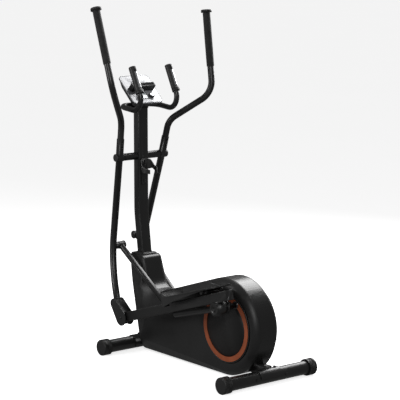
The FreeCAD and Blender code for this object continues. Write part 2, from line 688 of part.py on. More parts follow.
def build_mast():
    """The mast: a rounded rectangular tube, leaning below its bend and upright above it."""
    slope = math.radians(S.mast_lean)
    bend = Vector(0, S.mast_y, S.mast_bend_height)
    foot = leaned(S.mast_y, S.mast_foot)
    top = Vector(0, S.mast_y, S.mast_top)
    path = bent_path([foot, bend, top], [S.mast_bend])

    def section(inset, corner):
        wire = rounded_rectangle(S.mast_width - 2 * inset, S.mast_depth - 2 * inset, corner)
        face = Placement(foot, about_x(-math.degrees(slope)))
        wire.Placement = face
        return wire

    skin = swept(path, section(0.0, S.mast_corner))
    bore = swept(path, section(S.mast_wall, 2.0))
    shape = skin.cut(bore)
    shape = shape.cut(drum(S.cross_tube_dia / 2 + S.seat_gap / 2, S.mast_width + 2,
                           Vector(-S.mast_width / 2 - 1, S.mast_y, S.swing_z)))
    for height in (S.mast_bolt_low, S.mast_bolt_high):
        spot = leaned(S.mast_y, height)
        shape = shape.cut(drum(S.bolt_dia / 2 + S.seat_gap, S.mast_width + 2,
                               spot.sub(Vector(S.mast_width / 2 + 1, 0, 0))))
    rear = S.mast_y - S.mast_depth / 2
    for height in cage_screw_heights():
        shape = shape.cut(drum(S.cage_screw_dia / 2 + S.seat_gap, 6, Vector(0, rear - 2, height), ALONG_Y))
    coded("mast", shape, at(0, 0, 0))


def cage_screw_heights():
    return (S.cage_bottom + 20, S.cage_top - 20)


def rounded_rectangle(width, depth, corner):
    """A wire in the X-Y plane with rounded corners, centred on the origin."""
    x, y = width / 2, depth / 2
    k = corner * (1 - math.sqrt(0.5))
    spots = [
        (Vector(x - corner, -y, 0), Vector(x - k, -y + k, 0), Vector(x, -y + corner, 0)),
        (Vector(x, y - corner, 0), Vector(x - k, y - k, 0), Vector(x - corner, y, 0)),
        (Vector(-x + corner, y, 0), Vector(-x + k, y - k, 0), Vector(-x, y - corner, 0)),
        (Vector(-x, -y + corner, 0), Vector(-x + k, -y + k, 0), Vector(-x + corner, -y, 0)),
    ]
    edges = []
    for i, (start, middle, end) in enumerate(spots):
        edges.append(Part.Arc(start, middle, end).toShape())
        edges.append(Part.LineSegment(end, spots[(i + 1) % 4][0]).toShape())
    return Part.Wire(edges)


# ---------------------------------------------------------------- housing

def housing_corner(first, second):
    """The crossing of two lines in the Y-Z plane, each a (point, direction) pair."""
    (p, d), (q, e) = first, second
    cross = d.y * e.z - d.z * e.y
    gap = q.sub(p)
    along = (gap.y * e.z - gap.z * e.y) / cross
    return p.add(d * along)


def tangent_line(point, upper):
    """Where the line through a point grazes the drum above or below, and the way out there."""
    run = point.sub(drum_centre)
    far = run.Length
    spread = math.degrees(math.acos(S.drum_radius / far))
    normal = spun(run * (1 / far), spread if upper else -spread)
    return drum_centre.add(normal * S.drum_radius), normal


def on_line(a, b, z):
    """The point of the line through a and b at a height."""
    return a.add(b.sub(a) * ((z - a.z) / (b.z - a.z)))


def housing_outline(inset, raised=0.0, lowered=0.0):
    """The side outline moved inwards, its underside raised and its neck lowered: ten edges."""
    front_foot = Vector(0, S.shell_front, S.shell_bottom)
    front_top = Vector(0, S.neck_front, S.neck_top)
    rear_top = Vector(0, S.neck_rear, S.neck_top)
    throat = Vector(0, S.throat_y, S.throat_z)
    foot = on_line(front_foot, front_top, S.shell_bottom + raised)
    front = on_line(front_foot, front_top, S.neck_top - lowered)
    rear = on_line(throat, rear_top, S.neck_top - lowered)
    low_touch, low_normal = tangent_line(foot, False)
    high_touch, high_normal = tangent_line(throat, True)
    corners = [low_touch, foot, front, rear, throat, high_touch]
    lines = []
    for start, end in zip(corners, corners[1:]):
        along = end.sub(start).normalize()
        inward = Vector(0, -along.z, along.y)
        lines.append((start.add(inward * inset), along))
    bends = [housing_corner(lines[i], lines[i + 1]) for i in range(4)]
    radius = S.drum_radius - inset
    first = drum_centre.add(low_normal * radius)
    last = drum_centre.add(high_normal * radius)
    radii = [max(34.0 - inset, 6.0), max(10.0 - inset / 3, 3.0), max(24.0 - inset / 2, 6.0), 70.0]
    edges = bent_path([first] + bends + [last], radii).Edges
    back = drum_centre.sub(low_normal.add(high_normal).normalize() * radius)
    edges.append(Part.Arc(last, back, first).toShape())
    return Part.Wire(edges)


def shifted(wire, x):
    moved = wire.copy()
    moved.translate(Vector(x, 0, 0))
    return moved


def shell_body(side, wall):
    """One side of the housing as a solid: a straight rim and a bevel up to the flat face."""
    start = S.band_half + S.seat_gap
    knee = start + 8
    face = S.shell_face - wall
    rim = side_prism(side, housing_outline(wall), start if not wall else start - 5, knee)
    inset = S.shell_bevel + wall * 0.6
    loft = Part.makeLoft([shifted(housing_outline(wall), side * knee),
                          shifted(housing_outline(inset, S.shell_sill, S.neck_flare), side * face)], True, True)
    return rim.fuse(loft)


def saddle_relief():
    """The room that the housing leaves for the front saddle."""
    return drum(S.stabiliser_dia / 2 + S.saddle_wall + 3, 300, Vector(-150, S.wheelbase, S.bar_height))


def build_side_shell(name, side):
    shell = shell_body(side, 0.0).cut(shell_body(side, S.shell_wall))
    opening = side_drum(side, S.disc_dia / 2 + S.disc_gap, S.shell_face - 15, S.shell_face + 5,
                        S.crank_y, S.crank_z)
    shell = shell.cut(opening).cut(saddle_relief())
    coded(name + "_shell", shell, at(0, 0, 0))


def build_centre_band():
    """The glossy strip over the drum and up the neck, with openings for spine and mast."""
    outer = side_prism(1, housing_outline(0.0), -S.band_half, S.band_half)
    inner = side_prism(1, housing_outline(S.shell_wall), -S.band_half - 1, S.band_half + 1)
    band = outer.cut(inner)
    half = S.spine_width / 2 + 1
    low = S.spine_height - S.spine_depth / 2 - 1
    high = S.spine_height + S.spine_depth / 2 + 1
    band = band.cut(slab(-half, half, -10, S.crank_y, low, high))
    band = band.cut(slab(-half, half, S.shell_front - 40, S.wheelbase, low, high + 12))
    mast_half = S.mast_width / 2 + 1
    centre = leaned(S.mast_y, S.neck_top).y
    reach = S.mast_depth / 2 + 2
    band = band.cut(slab(-mast_half, mast_half, centre - reach, centre + reach,
                         S.neck_top - 20, S.neck_top + 5))
    coded("centre_band", band.cut(saddle_relief()), at(0, 0, 0))


def build_neck_collar():
    """A thin trim plate round the mast on top of the neck."""
    centre = leaned(S.mast_y, S.neck_top).y
    rear = centre - S.mast_depth / 2 - 12
    front = S.neck_front - 4
    base = Part.Face(rounded_rectangle(2 * (S.band_half + S.seat_gap + 8) - 4, front - rear, 10))
    plate_shape = base.extrude(Vector(0, 0, 4))
    plate_shape.translate(Vector(0, (front + rear) / 2, S.neck_top + S.seat_gap))
    skirt = Part.Face(rounded_rectangle(S.mast_width + 10, S.mast_depth + 10, 10)).extrude(Vector(0, 0, 9))
    skirt.translate(Vector(0, centre + 0.5, S.neck_top + S.seat_gap))
    hole = Part.Face(rounded_rectangle(S.mast_width + 1.2, S.mast_depth + 3.4, S.mast_corner))
    hole = hole.extrude(Vector(0, 0, 30))
    hole.translate(Vector(0, centre + 0.6, S.neck_top - 5))
    coded("neck_collar", plate_shape.fuse(skirt).cut(hole), at(0, 0, 0))


# ---------------------------------------------------------------- crank and drive

def build_crank():
    """Axle, pulley, two arms half a turn apart, and the two discs that cover them."""
    middle = at(0, S.crank_y, S.crank_z)
    reach = S.crank_plane - 14
    axle = rod("crank_axle", "axle_dia / 2", "2 * crank_plane - 28", Vector(0, 0, 0))
    keep(axle, "crank_axle", at(-reach, S.crank_y, S.crank_z, Rotation(ALONG_Z, ALONG_X)))
    half = S.spine_width / 2
    bearings = []
    for low in (-half, half - 6 - S.bearing_width):
        ring = drum(S.bearing_dia / 2, S.bearing_width, Vector(low, 0, 0))
        bearings.append(ring.cut(drum(S.axle_dia / 2 + S.running_gap, 200, Vector(-100, 0, 0))))
    coded("crank_bearings", Part.makeCompound(bearings), middle)
    turned("crank_pulley", [
        ("axle_dia / 2", "0"), ("axle_dia / 2 + 12", "0"), ("axle_dia / 2 + 12", "pulley_width / 3"),
        ("pulley_dia / 2 - 14", "pulley_width / 3"), ("pulley_dia / 2 - 14", "0"),
        ("pulley_dia / 2", "0"), ("pulley_dia / 2", "pulley_width"),
        ("pulley_dia / 2 - 14", "pulley_width"), ("pulley_dia / 2 - 14", "pulley_width * 2 / 3"),
        ("axle_dia / 2 + 12", "pulley_width * 2 / 3"), ("axle_dia / 2 + 12", "pulley_width"),
        ("axle_dia / 2", "pulley_width")],
        at(S.pulley_x - S.pulley_width / 2, S.crank_y, S.crank_z, Rotation(ALONG_Z, ALONG_X)))
    arms = []
    for name, side in SIDES:
        lean = -side * 1.0
        throw = spun(Vector(0, 0, 1), S.crank_angle) * (lean * S.crank_throw)
        inner = S.crank_plane - 28
        outer = S.crank_plane - 14
        outline = hull_outline(22, 0, 0, S.crank_boss_dia / 2, throw.y, throw.z)
        arm = side_prism(side, outline, inner, outer - 3)
        boss = side_drum(side, S.crank_boss_dia / 2, inner, S.crank_plane, throw.y, throw.z)
        bore = drum(S.axle_dia / 2, 400, Vector(-200, 0, 0))
        arms.append(arm.fuse(boss).cut(bore))
        flat = side_drum(side, S.disc_dia / 2, S.disc_face - S.disc_thick, S.disc_face)
        rim = [edge for edge in flat.Edges if abs(abs(edge.CenterOfMass.x) - S.disc_face) < 0.1]
        flat = flat.makeFillet(2.5, rim)
        groove = side_drum(side, S.ring_dia / 2 + 1.5, S.disc_face - 1, S.disc_face + 1).cut(
            side_drum(side, S.ring_dia / 2 - S.ring_width - 1.5, S.disc_face - 1, S.disc_face + 1))
        hub = side_drum(side, 26, outer - 3, S.disc_face - 1)
        boss_hole = side_drum(side, S.crank_boss_dia / 2 + S.seat_gap, 0, 200, throw.y, throw.z)
        end_room = side_drum(side, S.axle_dia / 2 + 2, 0, S.disc_face - 8)
        disc = flat.cut(groove).fuse(hub).cut(boss_hole).cut(end_room)
        coded(name + "_crank_disc", disc, middle)
    coded("crank_arms", Part.makeCompound(arms), middle)
    rings = []
    for name, side in SIDES:
        throw = spun(Vector(0, 0, 1), S.crank_angle) * (-side * S.crank_throw)
        ring = side_drum(side, S.ring_dia / 2, S.disc_face - 1, S.disc_face + S.ring_proud).cut(
            side_drum(side, S.ring_dia / 2 - S.ring_width, S.disc_face - 2, S.disc_face + 5))
        rings.append(ring.cut(side_drum(side, S.crank_boss_dia / 2 + S.seat_gap, 0, 200, throw.y, throw.z)))
    coded("disc_rings", Part.makeCompound(rings), middle)


def belt_outline(first, ra, second, rb):
    return hull_outline(ra, first.y, first.z, rb, second.y, second.z)


def build_flywheel_drive():
    """Flywheel with its small pulley, axle, belt, idler on its arm, and the magnet brake."""
    wheel = Vector(0, S.flywheel_y, S.flywheel_z)
    lying = Rotation(ALONG_Z, ALONG_X)
    turned("flywheel", [
        ("flywheel_axle_dia / 2", "0"), ("flywheel_hub_dia / 2", "0"),
        ("flywheel_hub_dia / 2", "flywheel_width / 3"), ("flywheel_dia / 2 - flywheel_rim", "flywheel_width / 3"),
        ("flywheel_dia / 2 - flywheel_rim", "0"), ("flywheel_dia / 2", "0"),
        ("flywheel_dia / 2", "flywheel_width"), ("flywheel_dia / 2 - flywheel_rim", "flywheel_width"),
        ("flywheel_dia / 2 - flywheel_rim", "flywheel_width * 2 / 3"),
        ("flywheel_hub_dia / 2", "flywheel_width * 2 / 3"), ("flywheel_hub_dia / 2", "flywheel_width"),
        ("flywheel_axle_dia / 2", "flywheel_width")],
        at(-S.flywheel_width / 2 - 4, S.flywheel_y, S.flywheel_z, lying))
    low = S.pulley_x - S.pulley_width / 2
    shaft = rod("flywheel_shaft", "flywheel_axle_dia / 2", "band_half + pulley_x", Vector(0, 0, 0), ALONG_Z)
    small = rod("small_pulley", "small_pulley_dia / 2", "pulley_width",
                Vector(0, 0, low + S.band_half - 6), ALONG_Z)
    keep(fused("flywheel_axle", [shaft, small]), "flywheel_axle",
         at(6 - S.band_half, S.flywheel_y, S.flywheel_z, lying))
    ra = S.pulley_dia / 2 + 0.4
    rb = S.small_pulley_dia / 2 + 0.4
    thick = S.belt_thick
    high = low + S.pulley_width
    loop = side_prism(1, belt_outline(crank, ra + thick, wheel, rb + thick), low + 1, high - 1)
    loop = loop.cut(side_prism(1, belt_outline(crank, ra, wheel, rb), low - 1, high + 1))
    coded("drive_belt", loop, at(0, 0, 0))
    run = wheel.sub(crank)
    spread = math.degrees(math.acos((ra - rb) / run.Length))
    upward = spun(run.normalize(), spread)
    touch_a = crank.add(upward * (ra + thick))
    touch_b = wheel.add(upward * (rb + thick))
    idler = touch_a.add(touch_b.sub(touch_a) * 0.62).add(upward * (S.idler_dia / 2 + 0.4))
    roller = drum(S.idler_dia / 2, S.pulley_width, Vector(low, 0, 0))
    roller = roller.cut(drum(S.idler_pin_dia / 2 + S.running_gap, 60, Vector(low - 5, 0, 0)))
    coded("idler_wheel", roller, at(0, idler.y, idler.z))
    plate_face = S.spine_width / 2 - 6
    root = Vector(0, S.flywheel_y - 15, S.flywheel_z + 10)
    pin = drum(S.idler_pin_dia / 2, high - plate_face - 1, Vector(plate_face + 1, idler.y, idler.z))
    arm = side_prism(1, hull_outline(11, idler.y, idler.z, 10, root.y, root.z), plate_face, plate_face + 3)
    coded("idler_arm", arm.fuse(pin), at(0, 0, 0))
    return wheel


def build_brake(wheel):
    """A magnet yoke hinged beside the flywheel rim, its pin on the spine, and the tension motor."""
    rim = S.flywheel_dia / 2
    yoke_in = rim + 4
    yoke_out = yoke_in + 12
    low, high = -S.flywheel_width / 2 - 6, S.flywheel_width / 2
    base = S.spine_height + S.spine_depth / 2
    ring = drum(yoke_out, high - low, Vector(low, 0, 0)).cut(drum(yoke_in, 80, Vector(low - 5, 0, 0)))
    fan = [spun(Vector(0, 2 * rim, 0), angle) for angle in (-62, -20, 12)]
    fan_wire = Part.Wire(Part.makePolygon([Vector(0, 0, 0)] + fan + [Vector(0, 0, 0)]))
    wedge = side_prism(1, fan_wire, low - 2, high + 2)
    hinge = spun(Vector(0, yoke_in + 6, 0), -58)
    ear = drum(9, high - low, Vector(low, hinge.y, hinge.z))
    bore = drum(S.idler_pin_dia / 2 + S.running_gap, 80, Vector(low - 5, hinge.y, hinge.z))
    yoke = ring.common(wedge).fuse(ear).cut(bore)
    yoke.translate(Vector(0, -hinge.y, -hinge.z))
    spot = wheel.add(hinge)
    coded("brake_yoke", yoke, at(0, spot.y, spot.z))
    magnets = []
    for angle in (-44, -26, -8):
        magnet = slab(low + 4, high - 4, yoke_in - 3, yoke_in, -11, 11)
        magnet.rotate(Vector(0, 0, 0), ALONG_X, angle)
        magnets.append(magnet)
    shape = Part.makeCompound(magnets)
    shape.translate(Vector(0, -hinge.y, -hinge.z))
    coded("brake_magnets", shape, at(0, spot.y, spot.z))
    pin = drum(S.idler_pin_dia / 2, high - low + 12, Vector(low - 6, 0, 0))
    drop = spot.z - base
    feet = slab(low - 6, low - 2, -8, 8, -drop, 8).fuse(slab(high + 2, high + 6, -8, 8, -drop, 8))
    coded("brake_pin", pin.fuse(feet), at(0, spot.y, spot.z))
    case = slab(-30, 24, 0, 62, 0, 40)
    case = case.makeFillet(4, case.Edges)
    motor = case.fuse(drum(14, 8, Vector(24, 31, 20)))
    coded("tension_motor", motor, at(0, S.flywheel_y + 150, base))


# ---------------------------------------------------------------- swing arms

def spot(side, x, y, z):
    """A point on one side of the machine."""
    return Vector(side * x, y, z)


def upright(base, direction):
    """The placement that stands a piece's own Z along a direction."""
    return Placement(base, Rotation(ALONG_Z, direction))


def closed_path(points, radii):
    """A closed outline of straight runs, each corner rounded by its own radius."""
    edges = []
    count = len(points)
    arcs = []
    for i in range(count):
        before = points[i].sub(points[i - 1]).normalize()
        after = points[(i + 1) % count].sub(points[i]).normalize()
        turn = before.getAngle(after)
        reach = radii[i] * math.tan(turn / 2)
        inward = after.sub(before).normalize()
        depth = radii[i] * (1 / math.cos(turn / 2) - 1)
        arcs.append((points[i].sub(before * reach), points[i].add(inward * depth),
                     points[i].add(after * reach)))
    for i, (start, middle, end) in enumerate(arcs):
        edges.append(Part.Arc(start, middle, end).toShape())
        following = arcs[(i + 1) % count][0]
        if following.sub(end).Length > 0.01:
            edges.append(Part.LineSegment(end, following).toShape())
    return Part.Wire(edges)


def build_swing_axle():
    """The fixed tube across the mast, the axle in it, and the plastic caps on its ends."""
    tube_skin = rod("cross_skin", "cross_tube_dia / 2", "2 * cross_tube_half", Vector(-S.cross_tube_half, 0, 0))
    tube_bore = rod("cross_bore", "swing_axle_dia / 2 + running_gap", "3 * cross_tube_half",
                    Vector(-1.5 * S.cross_tube_half, 0, 0))
    place = at(0, S.mast_y, S.swing_z)
    keep(cut("cross_tube", tube_skin, tube_bore), "cross_tube", place)
    hub_in = S.arm_plane - S.arm_hub_width / 2
    hub_out = S.arm_plane + S.arm_hub_width / 2
    end = hub_out + 4
    axle = drum(S.swing_axle_dia / 2, 2 * end, Vector(-end, 0, 0))
    for side in (-1, 1):
        axle = axle.fuse(side_drum(side, 12, S.cross_tube_half, hub_in - S.seat_gap))
    coded("swing_axle", axle, place)
    caps = []
    for side in (-1, 1):
        cap = side_drum(side, S.sleeve_dia / 2 + 0.5, hub_out + 0.5, end + 2.5)
        rims = [edge for edge in cap.Edges if abs(abs(edge.CenterOfMass.x) - end - 2.5) < 0.1]
        cap = cap.makeFillet(2.0, rims)
        caps.append(cap.cut(side_drum(side, S.swing_axle_dia / 2, hub_out, end)))
    coded("swing_axle_caps", Part.makeCompound(caps), place)


def sleeve_line(side):
    """Where the handlebar sleeve starts and which way it points."""
    start = spot(side, S.arm_plane, 0, 0)
    run = spot(side, S.arm_plane, -S.handle_bend_back, S.handle_bend_rise).sub(start)
    return start, run.normalize()


def build_lower_arm(name, side):
    """Hub, bent tube, handlebar sleeve, link stub and the fork at the toe."""
    foot = Vector(0, 0, -S.arm_length)
    toe = foot.add(Vector(0, S.toe_ahead, S.toe_rise))
    points = [spot(side, S.arm_plane, 0, 0),
              spot(side, S.arm_plane, S.knee_ahead, -S.knee_drop),
              spot(side, S.shin_out, S.shin_ahead, S.shin_rise - S.arm_length),
              spot(side, S.foot_plane, toe.y, toe.z)]
    shape = tube(points, [320, 300], S.arm_dia, S.arm_wall)
    start, along = sleeve_line(side)
    sleeve = drum(S.sleeve_dia / 2, S.sleeve_top, start, along)
    shape = shape.fuse(sleeve).cut(drum(S.handle_dia / 2 + S.seat_gap / 2, S.sleeve_top, start.add(along * 22), along))
    hub = side_drum(side, S.arm_hub_dia / 2, S.arm_plane - S.arm_hub_width / 2, S.arm_plane + S.arm_hub_width / 2)
    crown_in = S.foot_plane - S.foot_eye_width / 2 - 0.8 - S.fork_plate
    crown_out = S.foot_plane + S.foot_eye_width / 2 + 0.8 + S.fork_plate
    crown = side_drum(side, S.toe_radius, crown_in, crown_out, toe.y, toe.z)
    shape = shape.fuse(hub).fuse(crown)
    outline = hull_outline(S.fork_radius, 0, foot.z, S.toe_radius, toe.y, toe.z)
    for inner in (crown_in, crown_out - S.fork_plate):
        shape = shape.fuse(side_prism(side, outline, inner, inner + S.fork_plate))
    half_eye = S.link_eye_width / 2
    collar_in = S.link_top + half_eye + 0.7
    collar = side_drum(side, S.link_eye_dia / 2 - 1, collar_in, S.arm_plane - S.arm_dia / 2 + 4,
                       S.stub_ahead, -S.stub_drop)
    cap_out = S.link_top - half_eye - 0.7
    stub = side_drum(side, S.stub_dia / 2, cap_out - 1, S.arm_plane - S.arm_dia / 2 + 4,
                     S.stub_ahead, -S.stub_drop)
    cap = side_drum(side, S.stub_cap_dia / 2, cap_out - S.stub_cap, cap_out, S.stub_ahead, -S.stub_drop)
    shape = shape.fuse(collar).fuse(stub).fuse(cap)
    shape = shape.cut(drum(S.swing_axle_dia / 2 + S.running_gap, 600, Vector(-300, 0, 0)))
    shape = shape.cut(drum(S.pivot_pin_dia / 2 + S.seat_gap / 2, 600, Vector(-300, 0, foot.z)))
    for rise in (40, 66):
        shape = shape.cut(drum(3.3, 40, start.add(along * rise), Vector(0, -1, 0)))
        seat = start.add(along * rise).sub(Vector(0, S.sleeve_dia / 2, 0))
        shape = shape.cut(drum(6.0, 10, seat, Vector(0, -1, 0)))
    coded(name + "_lower_arm", shape, mounted(name, swing, rest[name]["arm"]))


def build_handlebar(name, side):
    """The moving handlebar with its foam grip and end cap, and the arm's bolts and foot pin."""
    place = mounted(name, swing, rest[name]["arm"])
    start, along = sleeve_line(side)
    points = [start.add(along * 25),
              spot(side, S.arm_plane, -S.handle_bend_back, S.handle_bend_rise),
              spot(side, S.handle_plane, -S.handle_elbow_back, S.handle_elbow_rise),
              spot(side, S.handle_plane, -S.handle_top_back, S.handle_top_rise)]
    bar = tube(points, [90, 100], S.handle_dia, 2.0)
    for rise in (40, 66):
        bar = bar.cut(drum(3.3, 40, start.add(along * rise), Vector(0, -1, 0)))
    coded(name + "_handlebar", bar, place)
    top = points[-1]
    upward = top.sub(points[-2]).normalize()
    foam = drum(S.grip_dia / 2, S.grip_length, top.sub(upward * S.grip_length), upward)
    foam = foam.cut(drum(S.handle_dia / 2 + S.seat_gap / 2, S.grip_length, top.sub(upward * S.grip_length), upward))
    coded(name + "_foam_grip", foam, place)
    cap = drum(S.grip_cap_dia / 2, S.grip_cap_height, Vector(0, 0, 0), ALONG_Z)
    cap = cap.makeFillet(5.0, [edge for edge in cap.Edges if edge.CenterOfMass.z > S.grip_cap_height - 0.1])
    cap = cap.fuse(drum(S.handle_dia / 2 - 2 - S.seat_gap, 12, Vector(0, 0, -12), ALONG_Z))
    cap.Placement = upright(top, upward)
    coded(name + "_grip_cap", cap, place)
    bolts = []
    for rise in (40, 66):
        seat = start.add(along * rise).sub(Vector(0, S.sleeve_dia / 2, 0))
        bolts.append(screw(seat, Vector(0, -1, 0), 10, 6, 11))
    half = S.foot_eye_width / 2 + 0.8 + S.fork_plate + S.cover_wall + 2
    pin = side_drum(side, S.pivot_pin_dia / 2, S.foot_plane - half, S.foot_plane + half, 0, -S.arm_length)
    bolts.append(pin)
    coded(name + "_arm_bolts", Part.makeCompound(bolts), place)


def build_pivot_cover(name, side):
    """The plastic cover round the fork, open behind for the foot bar and above for the arm tube."""
    foot = Vector(0, 0, -S.arm_length)
    toe = foot.add(Vector(0, S.toe_ahead, S.toe_rise))
    inside = S.cover_gap
    outside = S.cover_gap + S.cover_wall
    half = S.foot_eye_width / 2 + 0.8 + S.fork_plate + 0.5
    inner, outer = S.foot_plane - half, S.foot_plane + half
    skin = side_prism(side, hull_outline(S.fork_radius + outside, 0, foot.z,
                                         S.toe_radius + outside, toe.y, toe.z),
                      inner - S.cover_wall, outer + S.cover_wall)
    room = side_prism(side, hull_outline(S.fork_radius + inside, 0, foot.z,
                                         S.toe_radius + inside, toe.y, toe.z), inner, outer)
    slot = side_slab(side, inner, outer, -90, -6, foot.z - 60, foot.z + 27)
    lower = side_slab(side, inner, outer, -90, 16, foot.z - 60, foot.z - 12)
    shin = spot(side, S.shin_out, S.shin_ahead, S.shin_rise - S.arm_length)
    end = spot(side, S.foot_plane, toe.y, toe.z)
    passage = drum(S.arm_dia / 2 + 0.8, 120, end, shin.sub(end))
    cover = skin.cut(room).cut(slot).cut(lower).cut(passage)
    cover = cover.cut(drum(S.pivot_pin_dia / 2 + S.seat_gap, 600, Vector(-300, 0, foot.z)))
    coded(name + "_pivot_cover", cover, mounted(name, swing, rest[name]["arm"]))


# ---------------------------------------------------------------- foot bars

def eye_back():
    """How far behind the foot pivot the crank eye stands, along the foot bar."""
    return math.sqrt(S.bar_link ** 2 - S.eye_drop ** 2)


def build_foot_bar(name, side):
    """Front eye, square tube, strut and crank eye, welded into one bar."""
    inner = S.foot_plane - S.foot_eye_width / 2
    outer = S.foot_plane + S.foot_eye_width / 2
    half = S.bar_width / 2
    wall = S.bar_wall
    skin = side_slab(side, S.foot_plane - half, S.foot_plane + half,
                     -S.bar_end, -S.bar_start, -S.bar_depth / 2, S.bar_depth / 2)
    room = side_slab(side, S.foot_plane - half + wall, S.foot_plane + half - wall,
                     -S.bar_end + 3, -S.bar_start - 3, -S.bar_depth / 2 + wall, S.bar_depth / 2 - wall)
    long_edges = [edge for edge in skin.Edges if runs_along(edge, ALONG_Y)]
    bar = skin.makeFillet(4.0, long_edges).cut(room)
    bar = bar.fuse(side_drum(side, S.foot_eye_dia / 2, inner, outer))
    bar = bar.fuse(side_slab(side, inner, outer, -S.bar_start - 1, 0, -18, 18))
    centre = Vector(0, -eye_back(), -S.eye_drop)
    strut_from = spot(side, S.foot_plane, -S.strut_start, -S.bar_depth / 2 - 11)
    strut_to = spot(side, S.foot_plane, centre.y + 10, centre.z)
    run = strut_to.sub(strut_from)
    bar = bar.fuse(drum(S.strut_dia / 2, run.Length, strut_from, run))
    eye = side_drum(side, S.eye_dia / 2, S.eye_inner, S.eye_outer - 5, centre.y, centre.z)
    cap = side_drum(side, S.eye_dia / 2 - 4, S.eye_outer - 6, S.eye_outer, centre.y, centre.z)
    rims = [edge for edge in cap.Edges if abs(abs(edge.CenterOfMass.x) - S.eye_outer) < 0.1]
    cap = cap.makeFillet(2.0, rims).cut(side_drum(side, 8, S.eye_outer - 3, 400, centre.y, centre.z))
    bar = bar.fuse(eye).fuse(cap)
    bar = bar.cut(side_drum(side, S.spacer_dia / 2 + S.seat_gap, S.pin_plane, S.eye_inner, centre.y, centre.z))
    bar = bar.cut(drum(S.pivot_pin_dia / 2 + S.running_gap, 600, Vector(-300, 0, 0)))
    coded(name + "_foot_bar", bar, mounted(name, "pivot", rest[name]["bar"]))


def build_crank_pin(name, side):
    """The stepped pin from the foot bar's crank eye to the crank arm."""
    total = "eye_inner - pin_plane"
    nut_top = total + " - spacer_length"
    disc_top = nut_top + " - nut_length"
    disc_low = disc_top + " - pin_disc"
    turned(name + "_crank_pin", [
        ("0", "0"), ("pin_dia / 2", "0"), ("pin_dia / 2", disc_low), ("pin_disc_dia / 2", disc_low),
        ("pin_disc_dia / 2", disc_top), ("nut_dia / 2", disc_top), ("nut_dia / 2", nut_top),
        ("spacer_dia / 2", nut_top), ("spacer_dia / 2", total), ("0", total)],
        at(side * S.pin_plane, rest[name]["pin"].y, rest[name]["pin"].z,
           Rotation(ALONG_Z, Vector(side, 0, 0))))


def build_pedal(name, side):
    """The foot tray: a rounded floor, an inner guard, a front lip and an outer wall with a skirt."""
    low = S.tray_lift
    tread = low + S.tray_floor
    front, rear = S.tray_front, -S.tray_rear
    wall = S.tray_wall
    corners = [spot(side, S.tray_inner, rear, low), spot(side, S.tray_outer, rear, low),
               spot(side, S.tray_outer, front, low), spot(side, S.tray_inner, front, low)]
    floor = Part.Face(closed_path(corners, [26, 48, 14, 10])).extrude(Vector(0, 0, S.tray_floor))
    guard_top = tread + S.tray_guard
    guard = [Vector(0, rear + 30, low), Vector(0, front - 2, low), Vector(0, front - 2, guard_top),
             Vector(0, 75, guard_top), Vector(0, 10, tread + 5), Vector(0, rear + 30, tread + 4)]
    tray = floor.fuse(side_prism(side, closed_path(guard, [1.5, 3, 16, 60, 30, 1.5]),
                                 S.tray_inner, S.tray_inner + wall))
    lip_top = tread + S.tray_lip
    skirt_low = tread - S.tray_skirt
    outer_wall = [Vector(0, front, skirt_low), Vector(0, front, lip_top), Vector(0, front - 14, lip_top - 4),
                  Vector(0, front - 40, tread + 3), Vector(0, rear + 48, tread + 3),
                  Vector(0, rear + 48, low), Vector(0, 60, low - 7), Vector(0, 190, skirt_low + 16)]
    tray = tray.fuse(side_prism(side, closed_path(outer_wall, [2, 4, 8, 20, 1, 1, 80, 60]),
                                S.tray_outer - wall, S.tray_outer))
    top_edge = Part.makePolygon([spot(side, S.tray_inner + 4, front - wall, low),
                                 spot(side, S.tray_inner + 4, front - wall, guard_top),
                                 spot(side, S.tray_inner + 14, front - wall, guard_top),
                                 spot(side, S.tray_outer - 1, front - wall, lip_top),
                                 spot(side, S.tray_outer - 1, front - wall, low),
                                 spot(side, S.tray_inner + 4, front - wall, low)])
    lip = Part.Face(Part.Wire(top_edge)).extrude(Vector(0, wall, 0))
    bar_edge = S.foot_plane + S.bar_width / 2 + 6
    apron = side_slab(side, bar_edge, S.tray_outer - 1, front - wall, front, skirt_low + 1, low + 1)
    tray = tray.fuse(lip).fuse(apron)
    ribs = []
    for step in range(9):
        y = rear + 40 + step * 34
        ribs.append(side_slab(side, S.tray_inner + 18, S.tray_outer - 18, y, y + 6, tread - 0.5, tread + 1.5))
    for rib in ribs:
        tray = tray.fuse(rib)
    coded(name + "_pedal", tray, mounted(name, "hinge", rest[name]["pedal"]))


def build_pedal_bracket(name, side):
    """Hinge barrel and lugs under the tray, and the side plate down to the link's lower eye."""
    low = S.tray_lift
    radius = S.hinge_dia / 2
    half = S.bar_width / 2
    barrel_in, barrel_out = S.tray_inner + 6, S.tray_outer - 10
    barrel = side_drum(side, radius - 1.5, barrel_in, barrel_out)
    for inner in (barrel_in, S.foot_plane + half + 4, barrel_out - 8):
        lug = side_slab(side, inner, inner + 8, -radius, radius, 0, low)
        barrel = barrel.fuse(lug).fuse(side_drum(side, radius, inner, inner + 8))
    plate_in = S.tray_inner + 1
    eye = eye_in_pedal
    outline = closed_path([Vector(0, -12, low), Vector(0, 200, low), Vector(0, eye.y + 2, eye.z + 15),
                           Vector(0, eye.y + 16, eye.z - 2), Vector(0, eye.y - 8, eye.z - 17),
                           Vector(0, 220, low - 30), Vector(0, 10, low - 20)],
                          [3, 60, 12, 12, 16, 80, 8])
    plate_shape = side_prism(side, outline, plate_in, plate_in + S.side_plate)
    boss_in = S.link_low + S.low_eye_width / 2 + 1.5
    boss = side_drum(side, 12, boss_in, plate_in + 1, eye.y, eye.z)
    shape = barrel.fuse(plate_shape).fuse(boss)
    coded(name + "_pedal_bracket", shape, mounted(name, "hinge", rest[name]["pedal"]))


